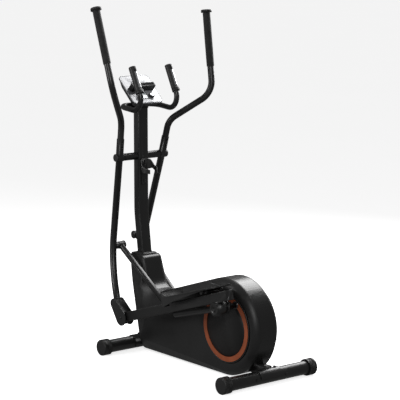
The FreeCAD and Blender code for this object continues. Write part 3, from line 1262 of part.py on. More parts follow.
def build_link(name, side):
    """The link from the swing arm's stub to the pedal bracket; its tube leans outwards."""
    half, low_half = S.link_eye_width / 2, S.low_eye_width / 2
    top = spot(side, S.link_top, 0, 0)
    low = spot(side, S.link_low, 0, -link_length)
    run = low.sub(top)
    link = drum(S.link_dia / 2, run.Length, top, run)
    link = link.fuse(side_drum(side, S.link_eye_dia / 2, S.link_top - half, S.link_top + half))
    link = link.fuse(side_drum(side, S.lower_eye_dia / 2, S.link_low - low_half, S.link_low + low_half,
                               0, -link_length))
    inner = side_slab(side, 0, S.link_top - half, -60, 60, -60, 60)
    link = link.cut(inner).cut(side_drum(side, S.stub_dia / 2 + S.running_gap, 0, 300))
    coded(name + "_link", link, mounted(name, "stub", rest[name]["link"]))


# ---------------------------------------------------------------- fixed handlebar

def build_fixed_handlebar():
    """The U-shaped fixed handlebar with its mast bracket, pulse grips and pulse plates."""
    half = S.fixed_half
    points = []
    for side in (-1, 1):
        limb = [spot(side, half, S.fixed_tip_y, S.fixed_tip_z),
                spot(side, half, S.fixed_corner_y, S.fixed_corner_z),
                spot(side, half, S.fixed_front_y, S.fixed_front_z)]
        points += limb if side < 0 else limb[::-1]
    bar = tube(points, [55, 50, 50, 55], S.fixed_dia, S.fixed_wall)
    mast_face = S.mast_y + S.mast_depth / 2
    bracket = slab(-18, 18, mast_face, S.fixed_front_y, S.mast_top - 34, S.fixed_front_z + 6)
    bar = bar.fuse(bracket.cut(drum(S.fixed_dia / 2 - 1, 60, Vector(-30, S.fixed_front_y, S.fixed_front_z))))
    coded("fixed_handlebar", bar, at(0, 0, 0))
    grips, plates = [], []
    for side in (-1, 1):
        tip = spot(side, half, S.fixed_tip_y, S.fixed_tip_z)
        corner = spot(side, half, S.fixed_corner_y, S.fixed_corner_z)
        down = corner.sub(tip)
        grip = drum(S.pulse_grip_dia / 2, S.pulse_grip_length + 4, Vector(0, 0, -4), ALONG_Z)
        grip = grip.makeFillet(3.0, grip.Edges[:1] if grip.Edges[0].CenterOfMass.z < 0 else grip.Edges[-1:])
        grip = grip.cut(drum(S.fixed_dia / 2 + S.seat_gap / 2, S.pulse_grip_length, Vector(0, 0, 0), ALONG_Z))
        start = (S.pulse_grip_length - S.pulse_plate_length) / 2
        strip = drum(S.pulse_grip_dia / 2 + 0.8, S.pulse_plate_length, Vector(0, 0, start), ALONG_Z)
        strip = strip.cut(drum(S.pulse_grip_dia / 2 - 0.7, 200, Vector(0, 0, -20), ALONG_Z))
        window = slab(-S.pulse_plate_width / 2, S.pulse_plate_width / 2, 5, 40, start, start + S.pulse_plate_length)
        strip = strip.common(window)
        seat = drum(S.pulse_grip_dia / 2 + 3, S.pulse_plate_length, Vector(0, 0, start), ALONG_Z)
        seat = seat.cut(drum(S.pulse_grip_dia / 2 - 0.7, 200, Vector(0, 0, -20), ALONG_Z)).common(window)
        for piece, group in ((grip.cut(seat), grips), (strip, plates)):
            piece.Placement = upright(tip, down)
            group.append(piece)
    coded("pulse_grips", Part.makeCompound(grips), at(0, 0, 0))
    coded("pulse_plates", Part.makeCompound(plates), at(0, 0, 0))


# ---------------------------------------------------------------- console

def console_place():
    return at(0, S.console_y, S.console_z, about_x(S.console_tilt))


def lifted(wire, z, y=0.0):
    moved = wire.copy()
    moved.translate(Vector(0, y, z))
    return moved


def build_console():
    """Face plate, back shell with its pedestal, display window, device ledge and dial."""
    place = console_place()
    width, length = S.console_width, S.console_length
    corner = S.corner_radius
    dial = Vector(34, -45, 0)
    window = (-40, 12, -58, -22)
    face = Part.Face(rounded_rectangle(width, length, corner)).extrude(Vector(0, 0, -S.face_thick))
    rims = [edge for edge in face.Edges if edge.CenterOfMass.z > -0.01]
    face = face.makeFillet(1.2, rims)
    recess = slab(window[0], window[1], window[2], window[3], -2, 5)
    face = face.cut(recess).cut(drum(4 + S.running_gap, 60, dial.sub(Vector(0, 0, 30)), ALONG_Z))
    coded("console_face", face, place)
    top_wire = lifted(rounded_rectangle(width - 3, length - 3, corner - 1.5), -S.face_thick)
    low_wire = lifted(rounded_rectangle(width - 26, length - 34, corner), -S.face_thick - S.back_thick, -10)
    outer = Part.makeLoft([top_wire, low_wire], True, True)
    top_room = lifted(rounded_rectangle(width - 8, length - 8, corner - 4), -S.face_thick)
    low_room = lifted(rounded_rectangle(width - 31, length - 39, corner - 2.5),
                      -S.face_thick - S.back_thick + 2.5, -10)
    room = Part.makeLoft([top_room, low_room], True, True)
    mast_x, mast_y = S.mast_width / 2, S.mast_depth / 2
    pedestal = slab(-mast_x, mast_x, S.mast_y - mast_y, S.mast_y + mast_y,
                    S.mast_top, S.console_z + 20)
    inset = S.mast_wall + S.stub_gap
    plug = slab(-mast_x + inset, mast_x - inset, S.mast_y - mast_y + inset, S.mast_y + mast_y - inset,
                S.mast_top - 40, S.mast_top + 1)
    post = pedestal.fuse(plug)
    post.translate(Vector(0, -S.console_y, -S.console_z))
    post.rotate(Vector(0, 0, 0), ALONG_X, -S.console_tilt)
    above = Part.makeBox(400, 400, 400, Vector(-200, -200, -S.face_thick - S.back_thick + 2.5))
    shell = outer.cut(room).fuse(post.cut(above))
    crossbar = drum(S.fixed_dia / 2 + S.seat_gap, width, Vector(-width / 2, S.fixed_front_y, S.fixed_front_z))
    crossbar.translate(Vector(0, -S.console_y, -S.console_z))
    crossbar.rotate(Vector(0, 0, 0), ALONG_X, -S.console_tilt)
    shell = shell.cut(crossbar)
    coded("console_shell", shell, place)
    pane = slab(window[0] + 0.2, window[1] - 0.2, window[2] + 0.2, window[3] - 0.2, -2, -0.4)
    coded("display_window", pane, place)
    half = S.ledge_width / 2
    ledge = slab(-half, half, -12, 14, 0, S.ledge_height)
    edges = [edge for edge in ledge.Edges if edge.CenterOfMass.z > 1]
    ledge = ledge.makeFillet(2.5, edges)
    ledge = ledge.cut(slab(-half + 6, half - 6, -4, 8, S.ledge_height - 14, S.ledge_height + 8))
    coded("device_ledge", ledge, place)
    turned("console_dial", [
        ("0", "seat_gap"), ("dial_dia / 2", "seat_gap"), ("dial_dia / 2", "dial_height"),
        ("0", "dial_height")],
        place.multiply(Placement(dial, Rotation())))


def build_bottle_cage():
    """A tapered plate on the mast's rear face, with two claws that taper towards their tips."""
    face = S.mast_y - S.mast_depth / 2
    outline = [Vector(-15, 0, S.cage_bottom), Vector(15, 0, S.cage_bottom),
               Vector(20, 0, S.cage_top), Vector(-20, 0, S.cage_top)]
    back = Part.Face(closed_path(outline, [8, 8, 8, 8])).extrude(Vector(0, -S.cage_wall, 0))
    back.translate(Vector(0, face, 0))
    radius = S.cage_ring_dia / 2
    centre = Vector(0, face - S.cage_wall - radius + 2, S.cage_ring_z)
    band = drum(radius, S.cage_band, centre, ALONG_Z)
    band = band.cut(drum(radius - S.cage_wall, 2 * S.cage_band, centre.sub(ALONG_Z * 20), ALONG_Z))
    tip = centre.y - radius - 1
    claw = closed_path([Vector(0, face + 1, centre.z + 22), Vector(0, face + 1, centre.z + S.cage_band),
                        Vector(0, face - 14, centre.z + S.cage_band - 4), Vector(0, centre.y + 9, centre.z + 44),
                        Vector(0, tip, centre.z + 27), Vector(0, tip, centre.z + 9),
                        Vector(0, centre.y, centre.z + 16), Vector(0, centre.y + 18, centre.z + 31)],
                       [1, 3, 10, 15, 4, 4, 10, 8])
    band = band.common(side_prism(1, claw, -radius - 1, radius + 1))
    gap = slab(-S.cage_mouth / 2, S.cage_mouth / 2, -2 * radius, 0, -1, 2 * S.cage_band)
    gap.translate(centre)
    shape = back.fuse(band.cut(gap))
    for height in cage_screw_heights():
        shape = shape.cut(drum(S.cage_screw_dia / 2 + S.seat_gap, 60, Vector(0, face - 30, height), ALONG_Y))
        shape = shape.cut(drum(S.cage_screw_dia, 60, Vector(0, face - S.cage_wall - 60, height), ALONG_Y))
    coded("bottle_cage", shape, at(0, 0, 0))


# ---------------------------------------------------------------- the machine

build_base_frame()
build_stabiliser("rear_stabiliser", 0.0, True)
build_stabiliser("front_stabiliser", S.wheelbase, False)
build_end_caps()
build_frame_bolts()
build_mast()
build_centre_band()
build_neck_collar()
build_crank()
build_brake(build_flywheel_drive())
build_swing_axle()
build_fixed_handlebar()
build_console()
build_bottle_cage()
for name, side in SIDES:
    build_side_shell(name, side)
    build_lower_arm(name, side)
    build_handlebar(name, side)
    build_pivot_cover(name, side)
    build_foot_bar(name, side)
    build_crank_pin(name, side)
    build_pedal(name, side)
    build_pedal_bracket(name, side)
    build_link(name, side)

doc.recompute()
for obj in doc.Objects:
    if "Invalid" in obj.State or "Error" in obj.State:
        raise RuntimeError("failed: " + obj.Name + " " + str(obj.State))
for node in nodes:
    if node.Shape.isNull() or not node.Shape.isValid():
        raise RuntimeError("bad shape: " + node.Label)

extent = []
for node in nodes:
    mesh_points, mesh_faces = node.Shape.tessellate(0.05)
    extent += [point.y for point in mesh_points]
middle = round((min(extent) + max(extent)) / 2, 2)
for node in nodes:
    node.Placement = Placement(Vector(0, -middle, 0), Rotation()).multiply(node.Placement)
doc.recompute()

os.makedirs("parts", exist_ok=True)
for node in nodes:
    node.Shape.exportStep("parts/%s.step" % node.Label)

print("nodes", len(nodes), "middle", middle, "length", round(max(extent) - min(extent), 2))
for name, side in SIDES:
    for point in ("pin", "pivot", "stub", "hinge", "eye"):
        where = rest[name][point]
        print(name, point, round(where.y - middle, 3), round(where.z, 3))
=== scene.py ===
import json
import math

import bmesh
import bpy
import numpy as np
from mathutils import Matrix, Vector

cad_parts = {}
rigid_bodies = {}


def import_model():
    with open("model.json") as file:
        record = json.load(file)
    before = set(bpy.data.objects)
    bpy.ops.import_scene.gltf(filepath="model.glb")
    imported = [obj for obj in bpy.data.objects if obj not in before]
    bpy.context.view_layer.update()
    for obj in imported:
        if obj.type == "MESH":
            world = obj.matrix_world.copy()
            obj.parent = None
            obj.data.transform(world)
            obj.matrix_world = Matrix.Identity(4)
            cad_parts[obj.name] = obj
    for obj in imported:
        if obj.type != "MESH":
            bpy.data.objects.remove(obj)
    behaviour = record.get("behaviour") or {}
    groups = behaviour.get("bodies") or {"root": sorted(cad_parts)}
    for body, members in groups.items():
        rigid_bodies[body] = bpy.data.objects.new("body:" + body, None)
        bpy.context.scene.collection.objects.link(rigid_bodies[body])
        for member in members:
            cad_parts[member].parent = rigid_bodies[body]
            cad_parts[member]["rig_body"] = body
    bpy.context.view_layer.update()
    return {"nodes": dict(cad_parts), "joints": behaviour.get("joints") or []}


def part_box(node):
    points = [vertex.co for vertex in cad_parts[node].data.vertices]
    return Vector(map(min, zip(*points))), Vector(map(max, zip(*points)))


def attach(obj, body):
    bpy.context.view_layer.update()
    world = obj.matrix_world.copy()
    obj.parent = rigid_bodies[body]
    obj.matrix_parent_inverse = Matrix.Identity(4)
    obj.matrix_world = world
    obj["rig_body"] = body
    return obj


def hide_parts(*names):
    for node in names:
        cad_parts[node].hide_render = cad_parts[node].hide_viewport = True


# Elliptical trainer. Metres; +X is the user's right, +Y the way the user faces, +Z up, floor at 0.

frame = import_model()
nodes = frame["nodes"]
hinge_of = {joint["name"]: Vector(joint["pos_m"]) for joint in frame["joints"]}
SIDES = (("left", -1), ("right", 1))

# The console, as in the CAD: its tilt, and where the dial and the display's middle are on its face.
CONSOLE_TILT = math.radians(43)
DIAL_SPOT = (0.034, -0.045)
DISPLAY_SPOT = (-0.014, -0.040)

# The camera: where it stands, which way it looks (azimuth from +Y, elevation down) and its lens.
CAMERA_PLACE = (-4.597, -5.622, 1.904)
CAMERA_AZIMUTH, CAMERA_ELEVATION = math.radians(39.52), math.radians(9.04)
CAMERA_LENS, SENSOR_WIDTH = 146.5, 36.0


# ---------------------------------------------------------------- material building

def new_finish(name):
    """A material with an empty Principled shader, and the object's own coordinates."""
    material = bpy.data.materials.new(name)
    material.use_nodes = True
    tree = material.node_tree
    shader = tree.nodes["Principled BSDF"]
    place = tree.nodes.new("ShaderNodeTexCoord")
    return material, tree, shader, place.outputs["Object"]


def noise(tree, place, scale, detail=3.0, stretch=(1, 1, 1)):
    """Soft clouds, drawn out along an axis where its stretch is small."""
    mapping = tree.nodes.new("ShaderNodeMapping")
    mapping.inputs["Scale"].default_value = stretch
    tree.links.new(place, mapping.inputs["Vector"])
    texture = tree.nodes.new("ShaderNodeTexNoise")
    texture.inputs["Scale"].default_value = scale
    texture.inputs["Detail"].default_value = detail
    tree.links.new(mapping.outputs["Vector"], texture.inputs["Vector"])
    return texture.outputs["Fac"]


def cells(tree, place, scale):
    """The distance to scattered points, for grain, foam and metallic fleck."""
    texture = tree.nodes.new("ShaderNodeTexVoronoi")
    texture.inputs["Scale"].default_value = scale
    tree.links.new(place, texture.inputs["Vector"])
    return texture.outputs["Distance"]


def spread(tree, value, low, high, from_low=0.3, from_high=0.7):
    """A texture's value stretched to a range."""
    span = tree.nodes.new("ShaderNodeMapRange")
    span.inputs["From Min"].default_value = from_low
    span.inputs["From Max"].default_value = from_high
    span.inputs["To Min"].default_value = low
    span.inputs["To Max"].default_value = high
    tree.links.new(value, span.inputs["Value"])
    return span.outputs["Result"]


def two_tone(tree, value, dark, light):
    """A colour between two, chosen by a value from 0 to 1."""
    mix = tree.nodes.new("ShaderNodeMix")
    mix.data_type = "RGBA"
    mix.inputs["A"].default_value = (*dark, 1)
    mix.inputs["B"].default_value = (*light, 1)
    tree.links.new(value, mix.inputs["Factor"])
    return mix.outputs["Result"]


def raise_surface(tree, shader, height, strength, depth):
    """A fine relief that the light picks up."""
    bump = tree.nodes.new("ShaderNodeBump")
    bump.inputs["Strength"].default_value = strength
    bump.inputs["Distance"].default_value = depth
    tree.links.new(height, bump.inputs["Height"])
    tree.links.new(bump.outputs["Normal"], shader.inputs["Normal"])


def coated_black(name, dark, light, rough, peel_scale, peel, specular=0.5, coat=0.0, patch=7):
    """Black paint or moulded plastic: faint cloudiness, uneven sheen and a fine surface."""
    material, tree, shader, place = new_finish(name)
    cloud = noise(tree, place, patch)
    tree.links.new(two_tone(tree, spread(tree, cloud, 0, 1), dark, light), shader.inputs["Base Color"])
    tree.links.new(spread(tree, noise(tree, place, patch * 3), rough[0], rough[1]), shader.inputs["Roughness"])
    shader.inputs["Specular IOR Level"].default_value = specular
    shader.inputs["Coat Weight"].default_value = coat
    shader.inputs["Coat Roughness"].default_value = 0.06
    raise_surface(tree, shader, noise(tree, place, peel_scale, 2), peel, 0.0004)
    return material


def grained_plastic(name, dark, light, rough, grain_scale, grain, specular=0.4):
    """Moulded plastic with a spark-eroded grain."""
    material, tree, shader, place = new_finish(name)
    tree.links.new(two_tone(tree, spread(tree, noise(tree, place, 9), 0, 1), dark, light),
                   shader.inputs["Base Color"])
    tree.links.new(spread(tree, noise(tree, place, 60), rough[0], rough[1]), shader.inputs["Roughness"])
    shader.inputs["Specular IOR Level"].default_value = specular
    raise_surface(tree, shader, cells(tree, place, grain_scale), grain, 0.0003)
    return material


def bare_metal(name, dark, light, rough, stretch, scratch=0.12):
    """Metal with fine drawn or turned lines."""
    material, tree, shader, place = new_finish(name)
    lines = noise(tree, place, 160, 5, stretch)
    tree.links.new(two_tone(tree, spread(tree, lines, 0, 1), dark, light), shader.inputs["Base Color"])
    tree.links.new(spread(tree, lines, rough[0], rough[1]), shader.inputs["Roughness"])
    shader.inputs["Metallic"].default_value = 1.0
    raise_surface(tree, shader, lines, scratch, 0.0002)
    return material


def foam_finish():
    """Matt closed-cell foam with a little sheen."""
    material, tree, shader, place = new_finish("closed_cell_foam")
    tree.links.new(two_tone(tree, spread(tree, noise(tree, place, 30), 0, 1), (0.010,) * 3, (0.020,) * 3),
                   shader.inputs["Base Color"])
    tree.links.new(spread(tree, noise(tree, place, 140), 0.72, 0.9), shader.inputs["Roughness"])
    shader.inputs["Specular IOR Level"].default_value = 0.3
    shader.inputs["Sheen Weight"].default_value = 0.12
    shader.inputs["Sheen Roughness"].default_value = 0.6
    raise_surface(tree, shader, cells(tree, place, 900), 0.55, 0.0005)
    return material


def copper_finish():
    """Copper-coloured lacquer on the disc's ring."""
    material, tree, shader, place = new_finish("copper_ring")
    tree.links.new(two_tone(tree, spread(tree, noise(tree, place, 14), 0, 1), (0.33, 0.080, 0.030),
                            (0.48, 0.125, 0.052)), shader.inputs["Base Color"])
    tree.links.new(spread(tree, noise(tree, place, 240), 0.32, 0.46), shader.inputs["Roughness"])
    shader.inputs["Metallic"].default_value = 0.45
    raise_surface(tree, shader, noise(tree, place, 700, 2), 0.08, 0.0003)
    return material


def console_finish():
    """Silver lacquer with painted shading: darker towards the user's left, lighter towards the right, with a
    metallic fleck.
    """
    material, tree, shader, place = new_finish("console_lacquer")
    low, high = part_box("console_face")
    axes = tree.nodes.new("ShaderNodeSeparateXYZ")
    tree.links.new(place, axes.inputs["Vector"])
    # Painted shade and highlight: the base colour runs from near-black at the face's left edge to light silver at
    # its right edge.
    painted_shade = tree.nodes.new("ShaderNodeMapRange")
    painted_shade.interpolation_type = "SMOOTHSTEP"
    painted_shade.inputs["From Min"].default_value = low.x
    painted_shade.inputs["From Max"].default_value = high.x
    tree.links.new(axes.outputs["X"], painted_shade.inputs["Value"])
    base = two_tone(tree, painted_shade.outputs["Result"], (0.085, 0.088, 0.095), (0.36, 0.365, 0.38))
    fleck = spread(tree, cells(tree, place, 2600), 0.0, 0.08, 0.0, 0.6)
    mix = tree.nodes.new("ShaderNodeMix")
    mix.data_type = "RGBA"
    mix.inputs["B"].default_value = (0.8, 0.8, 0.82, 1)
    tree.links.new(fleck, mix.inputs["Factor"])
    tree.links.new(base, mix.inputs["A"])
    tree.links.new(mix.outputs["Result"], shader.inputs["Base Color"])
    tree.links.new(spread(tree, noise(tree, place, 50), 0.28, 0.36), shader.inputs["Roughness"])
    shader.inputs["Metallic"].default_value = 0.25
    shader.inputs["Coat Weight"].default_value = 0.4
    return material


def display_finish():
    """A pale liquid-crystal pane with faint plain segments."""
    material, tree, shader, place = new_finish("display_pane")
    low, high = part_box("display_window")
    tilt = math.atan2(high.z - low.z, high.y - low.y)
    mapping = tree.nodes.new("ShaderNodeMapping")
    mapping.vector_type = "TEXTURE"
    mapping.inputs["Location"].default_value = ((low.x + high.x) / 2, (low.y + high.y) / 2, (low.z + high.z) / 2)
    mapping.inputs["Rotation"].default_value = (tilt, 0, 0)
    tree.links.new(place, mapping.inputs["Vector"])
    bars = tree.nodes.new("ShaderNodeTexBrick")
    bars.inputs["Scale"].default_value = 60
    bars.inputs["Mortar Size"].default_value = 0.06
    bars.inputs["Color1"].default_value = (0.50, 0.54, 0.55, 1)
    bars.inputs["Color2"].default_value = (0.57, 0.61, 0.62, 1)
    bars.inputs["Mortar"].default_value = (0.64, 0.68, 0.69, 1)
    tree.links.new(mapping.outputs["Vector"], bars.inputs["Vector"])
    tree.links.new(bars.outputs["Color"], shader.inputs["Base Color"])
    tree.links.new(spread(tree, noise(tree, place, 40), 0.08, 0.16), shader.inputs["Roughness"])
    shader.inputs["Coat Weight"].default_value = 0.8
    return material


def belt_finish():
    """Matt rubber with fine ribs along the belt."""
    material, tree, shader, place = new_finish("belt_rubber")
    ribs = noise(tree, place, 420, 2, (3, 0.2, 0.2))
    tree.links.new(two_tone(tree, spread(tree, ribs, 0, 1), (0.012,) * 3, (0.024,) * 3),
                   shader.inputs["Base Color"])
    tree.links.new(spread(tree, ribs, 0.6, 0.75), shader.inputs["Roughness"])
    raise_surface(tree, shader, ribs, 0.4, 0.0006)
    return material


paint = coated_black("satin_black_paint", (0.0075,) * 3, (0.012,) * 3, (0.30, 0.38), 520, 0.05)
gloss = coated_black("gloss_black_band", (0.006,) * 3, (0.009,) * 3, (0.25, 0.31), 120, 0.02, patch=4)
shell = grained_plastic("satin_shell", (0.010,) * 3, (0.015,) * 3, (0.40, 0.47), 1300, 0.10)
disc = grained_plastic("disc_plastic", (0.008,) * 3, (0.012,) * 3, (0.36, 0.44), 1100, 0.10)
moulded = grained_plastic("moulded_black", (0.009,) * 3, (0.015,) * 3, (0.42, 0.55), 900, 0.16)
pedal_plastic = grained_plastic("pedal_plastic", (0.011,) * 3, (0.019,) * 3, (0.48, 0.62), 620, 0.30)
foam = foam_finish()
copper = copper_finish()
chrome = bare_metal("chrome_strip", (0.78, 0.79, 0.81), (0.90, 0.91, 0.92), (0.08, 0.16), (1, 1, 0.15), 0.03)
zinc = bare_metal("zinc_steel", (0.42, 0.42, 0.43), (0.62, 0.62, 0.63), (0.26, 0.42), (0.2, 1, 1))
blackened = bare_metal("blackened_steel", (0.030,) * 3, (0.060,) * 3, (0.34, 0.46), (0.2, 1, 1))
iron = bare_metal("turned_iron", (0.10, 0.10, 0.105), (0.20, 0.20, 0.205), (0.38, 0.55), (0.1, 1, 1))
aluminium = bare_metal("turned_aluminium", (0.55, 0.56, 0.57), (0.70, 0.71, 0.72), (0.26, 0.38), (0.1, 1, 1))
rubber = belt_finish()
lacquer = console_finish()
pane = display_finish()
dial_finish = grained_plastic("dial_plastic", (0.012,) * 3, (0.022,) * 3, (0.30, 0.40), 1500, 0.08)
dial_top = bare_metal("dial_centre", (0.50, 0.51, 0.53), (0.66, 0.67, 0.69), (0.22, 0.32), (1, 1, 1), 0.05)


# ---------------------------------------------------------------- shapes

def finished(name, mesh, material, body, smooth=35.0):
    """A piece from a mesh whose points are already in place."""
    mesh.materials.clear()
    mesh.materials.append(material)
    mesh.shade_smooth()
    mesh.set_sharp_from_angle(angle=math.radians(smooth))
    piece = bpy.data.objects.new(name, mesh)
    bpy.context.scene.collection.objects.link(piece)
    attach(piece, body)
    return piece


def smoothed(node, material, smooth=32.0):
    """A welded copy of a sub-part with smooth curved faces, in place of the sub-part."""
    source = nodes[node]
    work = bmesh.new()
    work.from_mesh(source.data)
    bmesh.ops.remove_doubles(work, verts=work.verts, dist=0.00002)
    mesh = bpy.data.meshes.new(node + "_skin")
    work.to_mesh(mesh)
    work.free()
    piece = finished(node + "_skin", mesh, material, source["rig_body"], smooth)
    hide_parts(node)
    return piece


def axis_of(node):
    """The ends and radius of a straight round node."""
    points = np.array([vertex.co for vertex in nodes[node].data.vertices], float)
    along = Vector(np.linalg.svd(points - points.mean(0), full_matrices=False)[2][0])
    if along.z < 0:
        along = -along
    reach = (points - points.mean(0)) @ np.array(along)
    middle = points.mean(0) + np.array(along) * (reach.min() + reach.max()) / 2
    off = points - middle
    radius = np.linalg.norm(off - np.outer(off @ np.array(along), np.array(along)), axis=1).max()
    half = (reach.max() - reach.min()) / 2
    middle = Vector(middle)
    return middle - along * half, middle + along * half, radius


def lathed(profile, base, along, count=64):
    """A closed profile of (distance along, radius) turned about an axis."""
    work = bmesh.new()
    turn = Vector((0, 0, 1)).rotation_difference(along).to_matrix().to_4x4()
    place = Matrix.Translation(base) @ turn
    rings = []
    for step in range(count):
        angle = 2 * math.pi * step / count
        ring = [work.verts.new(place @ Vector((radius * math.cos(angle), radius * math.sin(angle), height)))
                for height, radius in profile]
        rings.append(ring)
    size = len(profile)
    for step in range(count):
        here, after = rings[step], rings[(step + 1) % count]
        for i in range(size):
            j = (i + 1) % size
            work.faces.new((here[i], after[i], after[j], here[j]))
    bmesh.ops.remove_doubles(work, verts=work.verts, dist=0.00001)
    bmesh.ops.recalc_face_normals(work, faces=work.faces)
    mesh = bpy.data.meshes.new("lathed")
    work.to_mesh(mesh)
    work.free()
    return mesh


def rounded_loop(width, length, corner, count=10):
    """Points round a rectangle with rounded corners, centred on zero."""
    points = []
    for quarter, (sx, sy) in enumerate(((1, 1), (-1, 1), (-1, -1), (1, -1))):
        cx, cy = sx * (width / 2 - corner), sy * (length / 2 - corner)
        for step in range(count + 1):
            angle = math.pi / 2 * (quarter + step / count)
            points.append((cx + corner * math.cos(angle), cy + corner * math.sin(angle)))
    return points


def frame_ring(width, length, corner, border, low, high, place):
    """A flat frame: the space between two rounded rectangles, from one height to another."""
    outer = rounded_loop(width, length, corner)
    inner = rounded_loop(width - 2 * border, length - 2 * border, max(corner - border, 0.0005))
    crown = rounded_loop(width - border, length - border, max(corner - border / 2, 0.0008))
    work = bmesh.new()
    rows = [[work.verts.new(place @ Vector((x, y, z))) for x, y in loop]
            for loop, z in ((outer, low), (outer, (low + high) / 2), (crown, high), (inner, (low + high) / 2),
                            (inner, low))]
    count = len(outer)
    for row in range(len(rows)):
        here, above = rows[row], rows[(row + 1) % len(rows)]
        for i in range(count):
            j = (i + 1) % count
            work.faces.new((here[i], here[j], above[j], above[i]))
    bmesh.ops.recalc_face_normals(work, faces=work.faces)
    mesh = bpy.data.meshes.new("ring")
    work.to_mesh(mesh)
    work.free()
    return mesh


# ---------------------------------------------------------------- repeated shapes by geometry nodes

def new_tree(name, sizes):
    """An empty tree with named sizes as its inputs."""
    tree = bpy.data.node_groups.new(name, "GeometryNodeTree")
    tree.interface.new_socket(name="Geometry", in_out="INPUT", socket_type="NodeSocketGeometry")
    for title, kind, value in sizes:
        socket = tree.interface.new_socket(name=title, in_out="INPUT", socket_type=kind)
        socket.default_value = value
    tree.interface.new_socket(name="Geometry", in_out="OUTPUT", socket_type="NodeSocketGeometry")
    return tree, tree.nodes.new("NodeGroupInput"), tree.nodes.new("NodeGroupOutput")


def plain_mesh(tree, values, name):
    """Run a tree and keep its result as a plain mesh."""
    holder = bpy.data.objects.new(name, bpy.data.meshes.new(name))
    bpy.context.scene.collection.objects.link(holder)
    modifier = holder.modifiers.new(name, "NODES")
    modifier.node_group = tree
    for item in tree.interface.items_tree:
        if item.in_out == "INPUT" and item.name in values:
            modifier[item.identifier] = values[item.name]
    bpy.context.view_layer.update()
    evaluated = holder.evaluated_get(bpy.context.evaluated_depsgraph_get())
    mesh = bpy.data.meshes.new_from_object(evaluated)
    holder.modifiers.remove(modifier)
    bpy.data.objects.remove(holder)
    return mesh


def stud_field_tree(material):
    """Rows of low round studs on a rectangle."""
    tree, given, result = new_tree("tread_studs", (
        ("Width", "NodeSocketFloat", 0.1), ("Length", "NodeSocketFloat", 0.1),
        ("Across", "NodeSocketInt", 8), ("Rows", "NodeSocketInt", 8),
        ("Radius", "NodeSocketFloat", 0.002), ("Height", "NodeSocketFloat", 0.001)))
    grid = tree.nodes.new("GeometryNodeMeshGrid")
    stud = tree.nodes.new("GeometryNodeMeshCone")
    stud.inputs["Vertices"].default_value = 12
    taper = tree.nodes.new("ShaderNodeMath")
    taper.operation = "MULTIPLY"
    taper.inputs[1].default_value = 0.6
    put = tree.nodes.new("GeometryNodeInstanceOnPoints")
    real = tree.nodes.new("GeometryNodeRealizeInstances")
    dress = tree.nodes.new("GeometryNodeSetMaterial")
    dress.inputs["Material"].default_value = material
    link = tree.links.new
    link(given.outputs["Width"], grid.inputs["Size X"])
    link(given.outputs["Length"], grid.inputs["Size Y"])
    link(given.outputs["Across"], grid.inputs["Vertices X"])
    link(given.outputs["Rows"], grid.inputs["Vertices Y"])
    link(given.outputs["Radius"], taper.inputs[0])
    link(taper.outputs["Value"], stud.inputs["Radius Top"])
    link(given.outputs["Radius"], stud.inputs["Radius Bottom"])
    link(given.outputs["Height"], stud.inputs["Depth"])
    link(grid.outputs["Mesh"], put.inputs["Points"])
    link(stud.outputs["Mesh"], put.inputs["Instance"])
    link(put.outputs["Instances"], real.inputs["Geometry"])
    link(real.outputs["Geometry"], dress.inputs["Geometry"])
    link(dress.outputs["Geometry"], result.inputs["Geometry"])
    return tree


def rib_ring_tree(material):
    """Upright ribs round a circle."""
    tree, given, result = new_tree("rib_ring", (
        ("Radius", "NodeSocketFloat", 0.015), ("Count", "NodeSocketInt", 24),
        ("Rib Radius", "NodeSocketFloat", 0.0008), ("Rib Height", "NodeSocketFloat", 0.008)))
    circle = tree.nodes.new("GeometryNodeMeshCircle")
    rib = tree.nodes.new("GeometryNodeMeshCylinder")
    rib.inputs["Vertices"].default_value = 8
    put = tree.nodes.new("GeometryNodeInstanceOnPoints")
    real = tree.nodes.new("GeometryNodeRealizeInstances")
    dress = tree.nodes.new("GeometryNodeSetMaterial")
    dress.inputs["Material"].default_value = material
    link = tree.links.new
    link(given.outputs["Radius"], circle.inputs["Radius"])
    link(given.outputs["Count"], circle.inputs["Vertices"])
    link(given.outputs["Rib Radius"], rib.inputs["Radius"])
    link(given.outputs["Rib Height"], rib.inputs["Depth"])
    link(circle.outputs["Mesh"], put.inputs["Points"])
    link(rib.outputs["Mesh"], put.inputs["Instance"])
    link(put.outputs["Instances"], real.inputs["Geometry"])
    link(real.outputs["Geometry"], dress.inputs["Geometry"])
    link(dress.outputs["Geometry"], result.inputs["Geometry"])
    return tree


# ---------------------------------------------------------------- the machine's surfaces

FINISHES = (
    (paint, "frame_paint", "base_frame rear_stabiliser front_stabiliser mast cross_tube fixed_handlebar "
     "left_lower_arm right_lower_arm left_handlebar right_handlebar left_foot_bar right_foot_bar left_link "
     "right_link left_pedal_bracket right_pedal_bracket crank_arms idler_arm brake_yoke tension_motor"),
    (gloss, "band_gloss", "centre_band"),
    (shell, "shell_plastic", "left_shell right_shell neck_collar left_pivot_cover right_pivot_cover"),
    (disc, "disc_plastic", "left_crank_disc right_crank_disc"),
    (copper, "accent", "disc_rings"),
    (moulded, "cap_plastic", "stabiliser_caps swing_axle_caps left_grip_cap right_grip_cap device_ledge "
     "console_shell bottle_cage"),
    (pedal_plastic, "pedal_plastic", "left_pedal right_pedal"),
    (moulded, "foam", "pulse_grips"),
    (chrome, "pulse_metal", "pulse_plates"),
    (zinc, "steel", "crank_bearings crank_axle flywheel_axle swing_axle brake_pin"),
    (blackened, "steel", "frame_bolts left_arm_bolts right_arm_bolts left_crank_pin right_crank_pin"),
    (iron, "iron", "flywheel"),
    (aluminium, "pulley_metal", "crank_pulley idler_wheel brake_magnets"),
    (rubber, "belt_rubber", "drive_belt"),
    (lacquer, "console_silver", "console_face"),
    (pane, "screen", "display_window"),
)
for material, slot, names in FINISHES:
    for node in names.split():
        smoothed(node, material)


